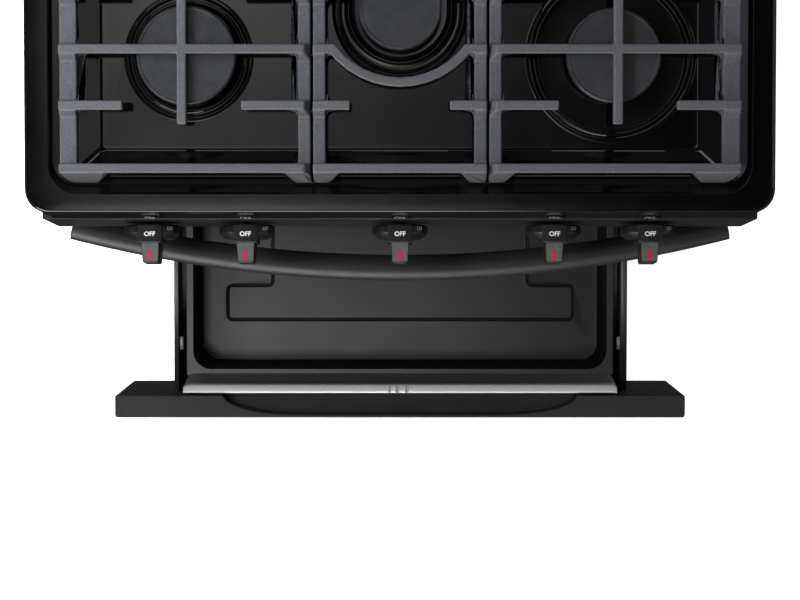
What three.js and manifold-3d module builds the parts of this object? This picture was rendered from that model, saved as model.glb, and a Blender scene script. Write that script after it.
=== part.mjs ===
// Freestanding gas range: five burners, a bow handle on the oven door and a storage drawer below it.
// Millimetres, +Z up, +X to the range's right as seen by the cook, -Y towards the cook.
// Each builder below works with y = 0 on the door's front face and the floor at z = 0.
// The finished group is shifted along Y so that the origin lies under the middle of its outline.
import * as THREE from "three";
import { mergeVertices } from "three/addons/utils/BufferGeometryUtils.js";
import Module from "manifold-3d";

const wasm = await Module();
wasm.setup();

// ---------------------------------------------------------------- driving dimensions
const bodyWidth = 730; // over the side panels, door and drawer front
const cooktopOverhang = 13.5; // each side, past the body
const bodyDepth = 656; // door face to the outside of the rear cover
const rimHeight = 914; // floor to the cooktop's rim
const guardHeight = 276; // backguard, above the rim
const fit = 0.4; // gap between pieces that touch
const sheet = 1.5; // sheet steel

// Front, from the floor up
const drawerFrontBottom = 45;
const drawerFrontHeight = 220;
const doorToDrawerGap = 11;
const panelHeight = 121; // control panel, measured upright
const panelToDoorGap = 5;
const skirtHeight = 30; // the cooktop's side, below its rim
const panelToSkirtGap = 4;
const panelLean = 10.7; // how far the control panel's foot stands in front of its top
const panelFootY = -2.7; // the foot stands this far in front of the door

const skirtBottom = rimHeight - skirtHeight;
const panelTop = skirtBottom - panelToSkirtGap;
const panelBottom = panelTop - panelHeight;
const doorTop = panelBottom - panelToDoorGap;
const drawerFrontTop = drawerFrontBottom + drawerFrontHeight;
const doorBottom = drawerFrontTop + doorToDrawerGap;

const cooktopWidth = bodyWidth + 2 * cooktopOverhang;

// Body
const frameY = 43; // front face of the body behind the door
const baseBottom = 26;
const baseHeight = 18;
const baseRail = 40; // width of the base frame's members
const sideX = bodyWidth / 2 - sheet; // inside of a side panel

// Oven
const cavityWidth = 600;
const cavityDepth = 512;
const cavityBottom = doorBottom + 54;
const cavityTop = doorTop - 26;
const gasketWidth = 12;
const gasketOffset = 4; // from the cavity's mouth to the gasket
const rackHeights = [cavityBottom + 140, cavityBottom + 270];
const rackRod = 5;
const ledge = 9; // how far a rack ledge stands in from the wall
const ovenFloorRise = 22;

// Door
const doorSkinDepth = 30;
const doorLinerFront = doorSkinDepth + 0.5;
const doorLinerBack = 40;
const doorWindow = { halfWidth: 240, bottom: doorBottom + 74, top: doorTop - 114 };
const linerWindow = { halfWidth: 200, bottom: doorBottom + 124, top: doorTop - 134 };
const outerGlass = 4;
const innerGlass = 4;
const glassLap = 20;
const hingeX = 300;
const hingeY = 20; // hinge axis, behind the door's face
const hingeZ = doorBottom + 18;
const hingePlate = 6;

// Handle
const handleBow = 44.5; // how far the middle stands in front of the ends
const handleReach = 47.9; // centre line in front of the door, in the middle
const handleHalf = bodyWidth / 2 - 11.5;
const handleDeep = 28;
const handleTall = 25;
const handleZ = doorTop - 22;

// Drawer, drawn out by drawerOpen as it is stored
const drawerOpen = 259.6;
const drawerFrontDeep = 28.7;
const panHalf = 269; // inside of the pan's wall
const panFront = 58;
const panLength = 442;
const panFloor = 80;
const panRim = 205;
const panFlange = 9;
const panCorner = 24;
const runnerWide = 16;
const runnerTall = 50;
const railSheet = 2.4;
const railGap = 1; // runner to rail
const scoopHalf = 227;
const scoopFlat = 138;
const scoopDeep = 28;
const scoopSkin = 6.4;

// Cooktop
const cooktopFront = 14.5;
const guardDepth = 54; // room for the backguard behind the cooktop
const rimWide = 25; // top of the rim at the sides
const wellSink = 26; // rim to the bottom of the burner well
const ledgeSink = 9; // rim to the ledge where the grates stand
const wellHalf = cooktopWidth / 2 - 75.5; // half width of the well's flat floor
const wellFront = 79;
const ledgeInner = [28, 27]; // well's edge to the ledge, at the sides and the ends
const ledgeOuter = [48, 36];
const cooktopRear = bodyDepth - guardDepth;
const floorZ = rimHeight - wellSink;
const ledgeZ = rimHeight - ledgeSink;
const ledgeCorner = 25; // plan radius of the ledge's corners

// Burners: front and rear rows, left and right columns, and a long one between them
const burnerX = 214;
const burnerFrontY = 172.5;
const burnerRearY = 439.5;
const centreY = (burnerFrontY + burnerRearY) / 2;
const wellRear = 2 * centreY - wellFront;
const headTop = floorZ + 23;
const capTall = 13;
const ovalHalf = 41.5; // half width of the long burner's cap
const ovalLength = 257;
const mixerRadius = 20;

// Grates
const barWide = 9.4;
const barTall = 14;
const capClearance = 1.6; // under the bars that cross a burner
const grateTop = headTop + fit + capTall + capClearance + barTall;
const outerBar = 17.5; // side bar at the cooktop's edge
const splitBar = 12.6; // side bar next to another section
const frameDrop = 10; // side bars lie this far below the tops of the fingers
const rampLong = 7; // a finger's root slopes down to the side bar over this length
const rootFillet = 9;
const crossFillet = 5;
const footReach = 10.5; // a foot stands this far outside its cross rail
const grateOuterX = wellHalf + ledgeOuter[0] - 11;
const grateSplitX = 88;
const grateGap = 1.2;
const grateFront = wellFront - 24;
const grateRear = 2 * centreY - grateFront;
const fingerSpread = 56; // finger rows, from the cross bar
const fingerReach = 59; // finger tips, from the burner's centre line
const crossY = burnerFrontY + 5.9; // front cross bar, a little behind the burner
const crossX = burnerX + 3.3; // and its spokes a little outside it
const spokeHalf = 75;

// Knobs: places along the panel
const knobXs = [-259, -160, 0, 160, 259];
const knobNames = ["left_front", "left_rear", "centre", "right_rear", "right_front"];
const knobRise = 59; // above the panel's foot
const knobRadius = 29;
const knobStandOff = 3;
const skirtDeep = 14.2;
const gripWide = 19.3;
const gripDeep = 24.6;
const stemRadius = 4;
const stemClearance = 0.5;

// Backguard
const guardFront = cooktopRear + 2;
const guardLean = 16;
const guardWidth = cooktopWidth;
const displayHalf = 205;
const displayHeight = 86;
const displayBottom = rimHeight + 148;

// ---------------------------------------------------------------- shape helpers
const v = (x, y, z) => new THREE.Vector3(x, y, z);

function box(x0, x1, y0, y1, z0, z1) {
  const g = new THREE.BoxGeometry(x1 - x0, y1 - y0, z1 - z0);
  return g.translate((x0 + x1) / 2, (y0 + y1) / 2, (z0 + z1) / 2);
}

// A box mirrored about x = 0 and both halves kept apart.
function pairOfBoxes(x0, x1, y0, y1, z0, z1) {
  return [box(x0, x1, y0, y1, z0, z1), box(-x1, -x0, y0, y1, z0, z1)];
}

function rod(radius, from, to, sides = 16) {
  const along = to.clone().sub(from);
  const g = new THREE.CylinderGeometry(radius, radius, along.length(), sides);
  const turn = new THREE.Quaternion().setFromUnitVectors(v(0, 1, 0), along.normalize());
  g.applyQuaternion(turn);
  const mid = from.clone().add(to).multiplyScalar(0.5);
  return g.translate(mid.x, mid.y, mid.z);
}

function shapeOf(points) {
  return new THREE.Shape(points.map(([a, b]) => new THREE.Vector2(a, b)));
}

function extrude(shape, depth, options = {}) {
  return new THREE.ExtrudeGeometry(shape, {
    depth,
    bevelEnabled: false,
    curveSegments: 6,
    ...options,
  });
}

// A (y, z) outline drawn out along X, from x0 to x1.
function alongX(points, x0, x1) {
  const g = extrude(shapeOf(points), x1 - x0);
  g.applyMatrix4(new THREE.Matrix4().makeBasis(v(0, 1, 0), v(0, 0, 1), v(1, 0, 0)));
  return g.translate(x0, 0, 0);
}

// An (x, z) outline drawn out along Y, from y0 to y1.
function alongY(points, y0, y1) {
  const g = extrude(points instanceof THREE.Shape ? points : shapeOf(points), y1 - y0);
  g.applyMatrix4(new THREE.Matrix4().makeBasis(v(1, 0, 0), v(0, 0, 1), v(0, -1, 0)));
  return g.translate(0, y1, 0);
}

// An (x, y) outline drawn up along Z, from z0 to z1.
function alongZ(points, z0, z1, options) {
  const shape = points instanceof THREE.Shape ? points : shapeOf(points);
  return extrude(shape, z1 - z0, options).translate(0, 0, z0);
}

// An open outline moved to its right by a distance.
function offset(points, thick) {
  return points.map((p, i) => {
    const before = points[Math.max(i - 1, 0)];
    const after = points[Math.min(i + 1, points.length - 1)];
    const one = [p[0] - before[0], p[1] - before[1]];
    const two = [after[0] - p[0], after[1] - p[1]];
    const n1 = normal2(i === 0 ? two : one);
    const n2 = normal2(i === points.length - 1 ? one : two);
    const spread = 1 + n1[0] * n2[0] + n1[1] * n2[1];
    return [p[0] + (thick * (n1[0] + n2[0])) / spread, p[1] + (thick * (n1[1] + n2[1])) / spread];
  });
}

// A bent strip of sheet: the open outline thickened to its right.
function strip(points, thick) {
  return [...points, ...offset(points, thick).reverse()];
}

function normal2([a, b]) {
  const long = Math.hypot(a, b);
  return [b / long, -a / long];
}

function roundedRect(halfX, y0, y1, radius, z, steps = 4) {
  const points = [];
  const corners = [
    [halfX - radius, y1 - radius, 0],
    [-halfX + radius, y1 - radius, 90],
    [-halfX + radius, y0 + radius, 180],
    [halfX - radius, y0 + radius, 270],
  ];
  for (const [cx, cy, start] of corners)
    for (let i = 0; i <= steps; i++) {
      const a = THREE.MathUtils.degToRad(start + (90 * i) / steps);
      points.push(v(cx + radius * Math.cos(a), cy + radius * Math.sin(a), z));
    }
  return points;
}

// A closed skin through rings of equal count, with a flat cap on the first and the last.
function loft(rings) {
  const n = rings[0].length;
  const position = rings.flat().flatMap((p) => [p.x, p.y, p.z]);
  const index = [];
  for (let r = 0; r + 1 < rings.length; r++)
    for (let i = 0; i < n; i++) {
      const j = (i + 1) % n;
      const [a, b, c, d] = [r * n + i, r * n + j, (r + 1) * n + i, (r + 1) * n + j];
      index.push(a, c, b, b, c, d);
    }
  const last = (rings.length - 1) * n;
  for (let i = 1; i + 1 < n; i++) {
    index.push(0, i, i + 1);
    index.push(last, last + i + 1, last + i);
  }
  const g = new THREE.BufferGeometry();
  g.setAttribute("position", new THREE.Float32BufferAttribute(position, 3));
  g.setIndex(index);
  return g;
}

function solid(geometry) {
  if (!(geometry instanceof THREE.BufferGeometry)) return geometry;
  const bare = geometry.clone();
  for (const name of Object.keys(bare.attributes)) if (name !== "position") bare.deleteAttribute(name);
  const merged = mergeVertices(bare, 1e-4);
  return new wasm.Manifold(
    new wasm.Mesh({
      numProp: 3,
      vertProperties: merged.attributes.position.array,
      triVerts: new Uint32Array(merged.index.array),
    }),
  );
}

function join(first, ...others) {
  return others.flat().reduce((whole, g) => whole.add(solid(g)), solid(first));
}

function cut(first, ...others) {
  return others.flat().reduce((whole, g) => whole.subtract(solid(g)), solid(first));
}

function geometryOf(shape) {
  if (shape instanceof THREE.BufferGeometry) return shape;
  const m = shape.getMesh();
  const g = new THREE.BufferGeometry();
  g.setAttribute("position", new THREE.BufferAttribute(new Float32Array(m.vertProperties), 3));
  g.setIndex(new THREE.BufferAttribute(new Uint32Array(m.triVerts), 1));
  return g;
}

// ---------------------------------------------------------------- finishes
const finish = (color, roughness, metalness) =>
  new THREE.MeshStandardMaterial({ color, roughness, metalness });
const finishes = {
  enamel: finish(0x0b0b0c, 0.12, 0), // glossy black porcelain on steel
  paint: finish(0x161617, 0.45, 0), // baked black powder coat
  castIron: finish(0x4a4a4d, 0.62, 0.1),
  burnerAlloy: finish(0x8a8a86, 0.5, 0.8),
  capEnamel: finish(0x26272a, 0.5, 0),
  knobPlastic: finish(0x1b1b1c, 0.42, 0),
  glass: finish(0x101214, 0.05, 0),
  zinc: finish(0xa9a9ae, 0.35, 0.9),
  liner: finish(0x2b2d33, 0.4, 0), // grey-blue oven enamel
  brass: finish(0xb08d4a, 0.35, 0.9),
  rubber: finish(0x202020, 0.85, 0),
  chrome: finish(0xc9c9cc, 0.18, 1),
};

const range = new THREE.Group();

function add(name, shape, material, parent = range) {
  const mesh = new THREE.Mesh(geometryOf(shape), finishes[material]);
  mesh.name = name;
  parent.add(mesh);
  return mesh;
}

// ---------------------------------------------------------------- body
const baseRear = bodyDepth - sheet - fit; // inside of the rear cover

function body() {
  for (const [side, s] of [["left", -1], ["right", 1]]) {
    const [x0, x1] = s < 0 ? [-bodyWidth / 2, -sideX] : [sideX, bodyWidth / 2];
    const panel = box(x0, x1, frameY, bodyDepth, baseBottom, skirtBottom - fit);
    add(`side_panel_${side}`, panel, "paint");
  }
  const half = sideX - fit;
  const regulatorHole = box(
    regulatorX - 35, regulatorX + 35, 0, 2 * bodyDepth, regulatorZ - 35, regulatorZ + 35,
  );
  const rear = box(-half, half, baseRear + fit, bodyDepth, baseBottom, skirtBottom - fit);
  add("rear_cover", cut(rear, regulatorHole), "zinc");
  const frame = cut(
    box(-half, half, frameY + sheet + fit, baseRear, baseBottom, baseBottom + baseHeight),
    box(-half + baseRail, half - baseRail, frameY + baseRail, baseRear - baseRail, 0, 100),
    box(-half + sheet, half - sheet, frameY + 2 * sheet + fit, baseRear - sheet,
      baseBottom + sheet, baseBottom + baseHeight - sheet),
  );
  add("base_frame", frame, "zinc");
  for (const [row, y] of [["front", frameY + 32], ["rear", baseRear - 30]])
    for (const [side, s] of [["left", -1], ["right", 1]])
      add(`leveling_leg_${row}_${side}`, levelingLeg(s * (half - baseRail / 2), y), "rubber");
}

function levelingLeg(x, y) {
  const top = baseBottom - fit;
  const profile = [[0, 0], [17, 0], [18, 3], [14, 9], [6, 10], [6, top], [0, top]];
  const g = new THREE.LatheGeometry(profile.map(([r, z]) => new THREE.Vector2(r, z)), 16);
  return g.rotateX(Math.PI / 2).translate(x, y, 0);
}

// ---------------------------------------------------------------- oven
const cavityFront = frameY + sheet + fit;
const cavityBack = cavityFront + cavityDepth;
const cavityHalf = cavityWidth / 2;

function oven() {
  const frontFrame = cut(
    box(-sideX + fit, sideX - fit, frameY, frameY + sheet, drawerFrontTop + 3, panelBottom - fit),
    box(-cavityHalf, cavityHalf, 0, 100, cavityBottom, cavityTop),
  );
  add("oven_front_frame", frontFrame, "enamel");

  const shell = cut(
    box(-cavityHalf - sheet, cavityHalf + sheet, cavityFront, cavityBack + sheet,
      cavityBottom - sheet, cavityTop + sheet),
    box(-cavityHalf, cavityHalf, 0, cavityBack, cavityBottom, cavityTop),
  );
  const ledges = rackHeights.flatMap((z) =>
    pairOfBoxes(cavityHalf - ledge, cavityHalf + 1, cavityFront + 20, cavityBack + 1, z - 10, z - fit),
  );
  add("oven_cavity", join(shell, ledges), "liner");

  const inner = gasketOffset;
  const outer = gasketOffset + gasketWidth;
  const gasket = cut(
    box(-cavityHalf - outer, cavityHalf + outer, doorLinerBack + fit, frameY - fit,
      cavityBottom - outer, cavityTop + outer),
    box(-cavityHalf - inner, cavityHalf + inner, 0, 100, cavityBottom - inner, cavityTop + inner),
  );
  add("door_gasket", gasket, "rubber");

  const floorTop = cavityBottom + ovenFloorRise;
  const floorHalf = cavityHalf - 4;
  const plate = alongY(
    strip([
      [-floorHalf, cavityBottom + fit],
      [-floorHalf, floorTop],
      [floorHalf, floorTop],
      [floorHalf, cavityBottom + fit],
    ], sheet),
    cavityFront + 12, cavityBack - 6,
  );
  const slots = [-1, 1].flatMap((s) =>
    [0, 1, 2, 3].map((i) => {
      const y = cavityFront + 60 + i * 110;
      return box(s * 235 - 12, s * 235 + 12, y, y + 70, floorTop - 5, floorTop + 5);
    }),
  );
  add("oven_floor", cut(plate, slots), "liner");

  const burnerZ = cavityBottom + 10;
  const bakePath = new THREE.CatmullRomCurve3([
    v(-120, cavityBack - 40, burnerZ),
    v(-120, cavityFront + 110, burnerZ),
    v(-90, cavityFront + 75, burnerZ),
    v(90, cavityFront + 75, burnerZ),
    v(120, cavityFront + 110, burnerZ),
    v(120, cavityBack - 40, burnerZ),
  ], false, "chordal");
  add("bake_burner", tube(bakePath, 7, 7, 8, 30), "zinc");

  const broilZ = cavityTop - 22;
  const broil = join(
    box(-75, 75, cavityFront + 60, cavityBack - 60, broilZ - 12, broilZ),
    box(-8, 8, cavityFront + 90, cavityFront + 110, broilZ - 1, cavityTop - fit),
    box(-8, 8, cavityBack - 110, cavityBack - 90, broilZ - 1, cavityTop - fit),
  );
  add("broil_burner", broil, "zinc");

  const lamp = v(-cavityHalf + 70, cavityBack - fit, cavityTop - 80);
  add("oven_lamp", rod(27, lamp, lamp.clone().setY(cavityBack - 10), 20), "glass");

  rackHeights.forEach((z, i) => add(["lower_rack", "upper_rack"][i], rack(z), "chrome"));
}

// A wire rack: a frame, a cross wire and wires that run front to back.
function rack(z) {
  const half = cavityHalf - 3;
  const y0 = cavityFront + 22;
  const y1 = cavityBack - 8;
  const top = z + rackRod;
  const frame = cut(
    box(-half, half, y0, y1, z, top),
    box(-half + rackRod, half - rackRod, y0 + rackRod, y1 - rackRod, z - 1, top + 1),
  );
  const wires = [];
  const count = 13;
  for (let i = 1; i <= count; i++) {
    const x = -half + (2 * half * i) / (count + 1);
    wires.push(box(x - 1.75, x + 1.75, y0 + 1, y1 - 1, z + 1, top - 0.5));
  }
  const mid = (y0 + y1) / 2;
  wires.push(box(-half + 1, half - 1, mid - 2, mid + 2, z + 0.5, top - 1));
  return join(frame, wires);
}

// A bar of oval section swept along a path.
function tube(path, halfWide, halfTall, sides, steps) {
  const section = new THREE.Shape();
  for (let i = 0; i < sides; i++) {
    const a = (2 * Math.PI * i) / sides;
    const [p, q] = [halfTall * Math.cos(a), halfWide * Math.sin(a)];
    if (i) section.lineTo(p, q);
    else section.moveTo(p, q);
  }
  return new THREE.ExtrudeGeometry(section, { steps, extrudePath: path, bevelEnabled: false });
}

// ---------------------------------------------------------------- door
function door() {
  const halfWidth = bodyWidth / 2;
  const skin = cut(
    box(-halfWidth, halfWidth, 0, doorSkinDepth, doorBottom, doorTop),
    box(-halfWidth + sheet, halfWidth - sheet, sheet, 100, doorBottom + sheet, doorTop - sheet),
    box(-doorWindow.halfWidth, doorWindow.halfWidth, -10, 50, doorWindow.bottom, doorWindow.top),
    pairOfBoxes(hingeX - 8, hingeX + 8, 8, 100, 0, doorBottom + 5),
  );
  add("door_outer_panel", skin, "paint");
  const glassY = sheet + fit;
  add("door_window_glass", box(
    -doorWindow.halfWidth - glassLap, doorWindow.halfWidth + glassLap, glassY, glassY + outerGlass,
    doorWindow.bottom - glassLap, doorWindow.top + glassLap,
  ), "glass");

  const linerHalf = halfWidth - 13;
  const linerBottom = doorBottom + 24;
  const linerTop = doorTop - 9;
  const liner = cut(
    box(-linerHalf, linerHalf, doorLinerFront, doorLinerBack, linerBottom, linerTop),
    box(-linerHalf + sheet, linerHalf - sheet, 0, doorLinerBack - sheet, linerBottom + sheet,
      linerTop - sheet),
    box(-linerWindow.halfWidth, linerWindow.halfWidth, 0, 100, linerWindow.bottom, linerWindow.top),
    pairOfBoxes(hingeX - 8, hingeX + 8, 0, 100, 0, hingeZ + 36),
  );
  add("door_inner_panel", liner, "enamel");
  const innerY = doorLinerBack - sheet - fit;
  add("door_inner_glass", box(
    -linerWindow.halfWidth - glassLap, linerWindow.halfWidth + glassLap, innerY - innerGlass, innerY,
    linerWindow.bottom - glassLap, linerWindow.top + glassLap,
  ), "glass");
  add("door_handle", handle(), "paint");
  for (const [side, s] of [["left", -1], ["right", 1]])
    add(`door_hinge_${side}`, hingeArm(s * hingeX), "zinc");
}

// The bar is an arc in plan. A post at each end carries it on the door.
function handle() {
  const radius = (handleHalf ** 2 + handleBow ** 2) / (2 * handleBow);
  const sweep = Math.asin(handleHalf / radius);
  const centre = v(0, -handleReach + radius, handleZ);
  const points = [];
  for (let i = 0; i <= 24; i++) {
    const a = -sweep + (2 * sweep * i) / 24;
    points.push(v(centre.x + radius * Math.sin(a), centre.y - radius * Math.cos(a), handleZ));
  }
  const bar = tube(new THREE.CatmullRomCurve3(points), handleDeep / 2, handleTall / 2, 12, 24);
  const postX = handleHalf - 14;
  const postReach = handleReach - handleBow + 3;
  const posts = pairOfBoxes(
    postX - 11, postX + 11, -postReach, -fit, handleZ - handleTall / 2 + 2, handleZ + handleTall / 2 - 2,
  );
  // The bar's ends are cut flat where they meet the door.
  return cut(join(bar, posts), box(-handleHalf - 10, handleHalf + 10, -fit, 50, 0, rimHeight));
}

// A flat arm that stands out of the body's frame, with the hinge pin through its round end.
function hingeArm(x) {
  const reach = 8;
  const outline = new THREE.Shape();
  outline.moveTo(frameY - fit, hingeZ + reach);
  outline.absarc(hingeY, hingeZ, reach, Math.PI / 2, (3 * Math.PI) / 2, false);
  outline.lineTo(frameY - fit, hingeZ - reach);
  const arm = extrude(outline, hingePlate);
  arm.applyMatrix4(new THREE.Matrix4().makeBasis(v(0, 1, 0), v(0, 0, 1), v(1, 0, 0)));
  arm.translate(x - hingePlate / 2, 0, 0);
  const pin = rod(4, v(x - 11, hingeY, hingeZ), v(x + 11, hingeY, hingeZ), 12);
  return join(arm, pin);
}

// ---------------------------------------------------------------- drawer
function drawer() {
  const drawn = new THREE.Group();
  drawn.position.y = -drawerOpen;
  range.add(drawn);
  add("drawer_front", drawerFront(), "paint", drawn);
  add("drawer_pan", drawerPan(), "paint", drawn);
  add("drawer_brace", drawerBrace(), "zinc", drawn);
  const outer = panHalf + panFlange + fit;
  for (const [side, s] of [["left", -1], ["right", 1]]) {
    const runner = strip([
      [s * (outer + runnerWide), panRim - runnerTall],
      [s * (outer + runnerWide), panRim],
      [s * outer, panRim],
      [s * outer, panRim - runnerTall],
    ], -s * sheet);
    const runnerBody = alongY(runner, drawerFrontDeep + fit, panFront + panLength);
    add(`drawer_runner_${side}`, runnerBody, "paint", drawn);
    const railX = outer + runnerWide + railGap;
    const seat = baseBottom + baseHeight + fit;
    const rail = strip([
      [s * railX, panRim],
      [s * railX, seat],
      [s * (sideX - fit), seat],
    ], -s * railSheet);
    add(`drawer_rail_${side}`, alongY(rail, frameY + 20, frameY + 520), "zinc");
  }
}

// Finger scoop in the top of the drawer front: its outline in plan, grown by a margin.
function scoopOutline(margin) {
  const front = scoopSkin - margin;
  const back = drawerFrontDeep;
  const shape = new THREE.Shape();
  shape.moveTo(-scoopHalf - margin, back);
  shape.bezierCurveTo(
    -scoopHalf + 12, front + 10, -scoopFlat - 40, front, -scoopFlat, front,
  );
  shape.lineTo(scoopFlat, front);
  shape.bezierCurveTo(scoopFlat + 40, front, scoopHalf - 12, front + 10, scoopHalf + margin, back);
  shape.closePath();
  return shape;
}

function drawerFront() {
  const halfWidth = bodyWidth / 2;
  const top = drawerFrontTop;
  const shell = cut(
    box(-halfWidth, halfWidth, 0, drawerFrontDeep, drawerFrontBottom, top),
    box(-halfWidth + sheet, halfWidth - sheet, sheet, drawerFrontDeep - sheet,
      drawerFrontBottom + sheet, top - sheet),
    box(-230, 230, 10, 100, drawerFrontBottom + 25, panRim - 30),
  );
  const trough = alongZ(scoopOutline(sheet), top - scoopDeep - sheet, top - sheet / 2);
  return cut(join(shell, trough), alongZ(scoopOutline(0), top - scoopDeep, top + 5));
}

function drawerPan() {
  const back = panFront + panLength;
  const ring = (grow, radius, z) =>
    roundedRect(panHalf + grow, panFront - grow, back + grow, radius, z);
  return loft([
    ring(-12, panCorner - 8, panFloor),
    ring(-5, panCorner - 3, panFloor + 3),
    ring(-2, panCorner, panFloor + 12),
    ring(0, panCorner, panRim - 2),
    ring(2, panCorner + 2, panRim),
    ring(panFlange, 6, panRim),
    ring(panFlange, 6, panRim - 10),
    ring(panFlange - sheet, 4.5, panRim - 10),
    ring(panFlange - sheet, 4.5, panRim - sheet),
    ring(sheet, panCorner + sheet, panRim - sheet),
    ring(sheet - 2, panCorner + sheet, panFloor + 10),
    ring(-12, panCorner - 8, panFloor - sheet),
  ]);
}

// A folded rail that closes the gap between the pan and the drawer front.
function drawerBrace() {
  const foot = panFront - panFlange + 3;
  const top = drawerFrontTop - 3;
  const rear = drawerFrontDeep + 2.3;
  const profile = strip([
    [rear, panFloor + 20],
    [rear, top - 3],
    [rear + 3, top],
    [foot - 9, top - 0.5],
    [foot - 6.5, top - 5],
    [foot, panRim + fit],
  ], sheet);
  return alongX(profile, -(panHalf + panFlange), panHalf + panFlange);
}

// ---------------------------------------------------------------- cooktop
function cooktop() {
  const half = cooktopWidth / 2;
  const skirtHalf = bodyWidth / 2 + 1;
  const ring = (halfX, front, rear, radius, z) => roundedRect(halfX, front, rear, radius, z, 5);
  const rimInner = half - rimWide;
  const around = ([sides, ends], radius, z) =>
    ring(wellHalf + sides, wellFront - ends, wellRear + ends, radius, z);
  const pan = loft([
    ring(wellHalf, wellFront, wellRear, 18, floorZ),
    around(ledgeInner, 20, ledgeZ - 1),
    around(ledgeOuter, ledgeCorner, ledgeZ),
    ring(rimInner - 2, cooktopFront + 20, cooktopRear - 23, ledgeCorner + 8, rimHeight - 3),
    ring(rimInner, cooktopFront + 18, cooktopRear - 21, ledgeCorner + 10, rimHeight),
    ring(half - 4.5, cooktopFront + 4.5, cooktopRear, 26, rimHeight),
    ring(half - 1, cooktopFront + 1, cooktopRear, 24, rimHeight - 2.5),
    ring(half, cooktopFront, cooktopRear, 24, rimHeight - 7),
    ring(skirtHalf, cooktopFront - 6, cooktopRear, 16, skirtBottom),
    ring(skirtHalf - sheet, cooktopFront - 6 + sheet, cooktopRear - sheet, 14.5, skirtBottom),
    ring(half - sheet, cooktopFront + sheet, cooktopRear - sheet, 22, rimHeight - 8),
    ring(half - 5, cooktopFront + 5, cooktopRear - 2, 24, rimHeight - sheet),
    ring(rimInner + 1, cooktopFront + 17, cooktopRear - 20, ledgeCorner + 10, rimHeight - sheet),
    around(ledgeOuter, ledgeCorner, ledgeZ - sheet),
    around(ledgeInner, 20, ledgeZ - 1 - sheet),
    ring(wellHalf - 1, wellFront + 1, wellRear - 1, 18, floorZ - sheet),
  ]);
  const holes = burners.map(({ x, y }) =>
    rod(mixerRadius + 1, v(x, y, floorZ - 20), v(x, y, floorZ + 20), 20),
  );
  add("cooktop", cut(pan, holes), "enamel");
}

const burners = [
  { name: "left_front", x: -burnerX, y: burnerFrontY, cap: 50 },
  { name: "left_rear", x: -burnerX, y: burnerRearY, cap: 38 },
  { name: "right_front", x: burnerX, y: burnerFrontY, cap: 47.7 },
  { name: "right_rear", x: burnerX, y: burnerRearY, cap: 40 },
  { name: "centre", x: 0, y: centreY, cap: 0 },
];

function burnerSet() {
  for (const { name, x, y, cap } of burners) {
    add(`burner_head_${name}`, cap ? roundHead(cap).translate(x, y, 0) : ovalHead(), "burnerAlloy");
    add(`burner_cap_${name}`, cap ? roundCap(cap).translate(x, y, 0) : ovalCap(), "capEnamel");
  }
}

function lathe(profile, segments) {
  const points = profile.map(([r, z]) => new THREE.Vector2(r, z));
  return new THREE.LatheGeometry(points, segments).rotateX(Math.PI / 2);
}

function roundHead(cap) {
  const seat = floorZ + fit;
  const mixerBottom = floorZ - 16;
  return lathe([
    [0, mixerBottom], [mixerRadius, mixerBottom], [mixerRadius, seat], [cap - 9, seat],
    [cap - 5, headTop - 6], [cap - 5, headTop], [0, headTop],
  ], 32);
}

function roundCap(cap) {
  const under = headTop + fit;
  const top = under + capTall;
  return lathe([
    [0, under], [cap - 2, under], [cap, under + 3], [cap, top - 3], [cap - 3, top], [0, top],
  ], 32);
}

function stadium(half, length, z0, z1, options) {
  const reach = length / 2 - half;
  const shape = new THREE.Shape();
  shape.absarc(0, centreY + reach, half, 0, Math.PI, false);
  shape.absarc(0, centreY - reach, half, Math.PI, 2 * Math.PI, false);
  shape.closePath();
  return alongZ(shape, z0, z1, { curveSegments: 12, ...options });
}

function ovalHead() {
  const stub = rod(mixerRadius, v(0, centreY, floorZ - 16), v(0, centreY, floorZ + 4), 20);
  return join(stadium(ovalHalf - 5, ovalLength - 10, floorZ + fit, headTop), stub);
}

function ovalCap() {
  const under = headTop + fit;
  const bevel = 2.5;
  return stadium(ovalHalf - bevel, ovalLength - 2 * bevel, under + bevel, under + capTall - bevel, {
    bevelEnabled: true, bevelThickness: bevel, bevelSize: bevel, bevelSegments: 1,
  });
}

// ---------------------------------------------------------------- grates
const grateFoot = ledgeZ + fit;
const barBottom = grateTop - barTall;
const frameTop = grateTop - frameDrop;
const frameTall = 14;

// A corner leg: it leans out from the cross rail, rounded in plan, down to the ledge.
function grateFoots(x0, x1, left, right) {
  const feet = [];
  for (const [edge, out] of [[grateFront, -1], [grateRear, 1]]) {
    const slope = [
      [edge, grateTop], [edge + out * footReach, grateFoot], [edge - out * 2, grateFoot],
      [edge - out * barWide, barBottom], [edge - out * barWide, grateTop],
    ];
    const wedge = solid(alongX(slope, x0, x1));
    for (const [at, inward, wide, radius] of [[x0, 1, ...left], [x1, -1, ...right]]) {
      const plan = new THREE.Shape();
      const tip = edge + out * footReach;
      plan.moveTo(at, edge - out * barWide);
      plan.lineTo(at, tip - out * radius);
      plan.quadraticCurveTo(at, tip, at + inward * radius, tip);
      plan.lineTo(at + inward * (wide - footReach), tip);
      plan.lineTo(at + inward * wide, edge);
      plan.lineTo(at + inward * wide, edge - out * barWide);
      feet.push(wedge.intersect(solid(alongZ(plan, grateFoot - 5, grateTop + 5))));
    }
  }
  return feet;
}

function grateFrame(x0, x1, left, right) {
  const rails = [
    box(x0, x1, grateFront, grateFront + barWide, barBottom, grateTop),
    box(x0, x1, grateRear - barWide, grateRear, barBottom, grateTop),
    box(x0, x0 + left, grateFront + 1, grateRear - 1, frameTop - frameTall, frameTop),
    box(x1 - right, x1, grateFront + 1, grateRear - 1, frameTop - frameTall, frameTop),
  ];
  const foot = (bar) => (bar === outerBar ? [46, 18] : [26, 4]);
  return [...rails, ...grateFoots(x0, x1, foot(left), foot(right))];
}

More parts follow.
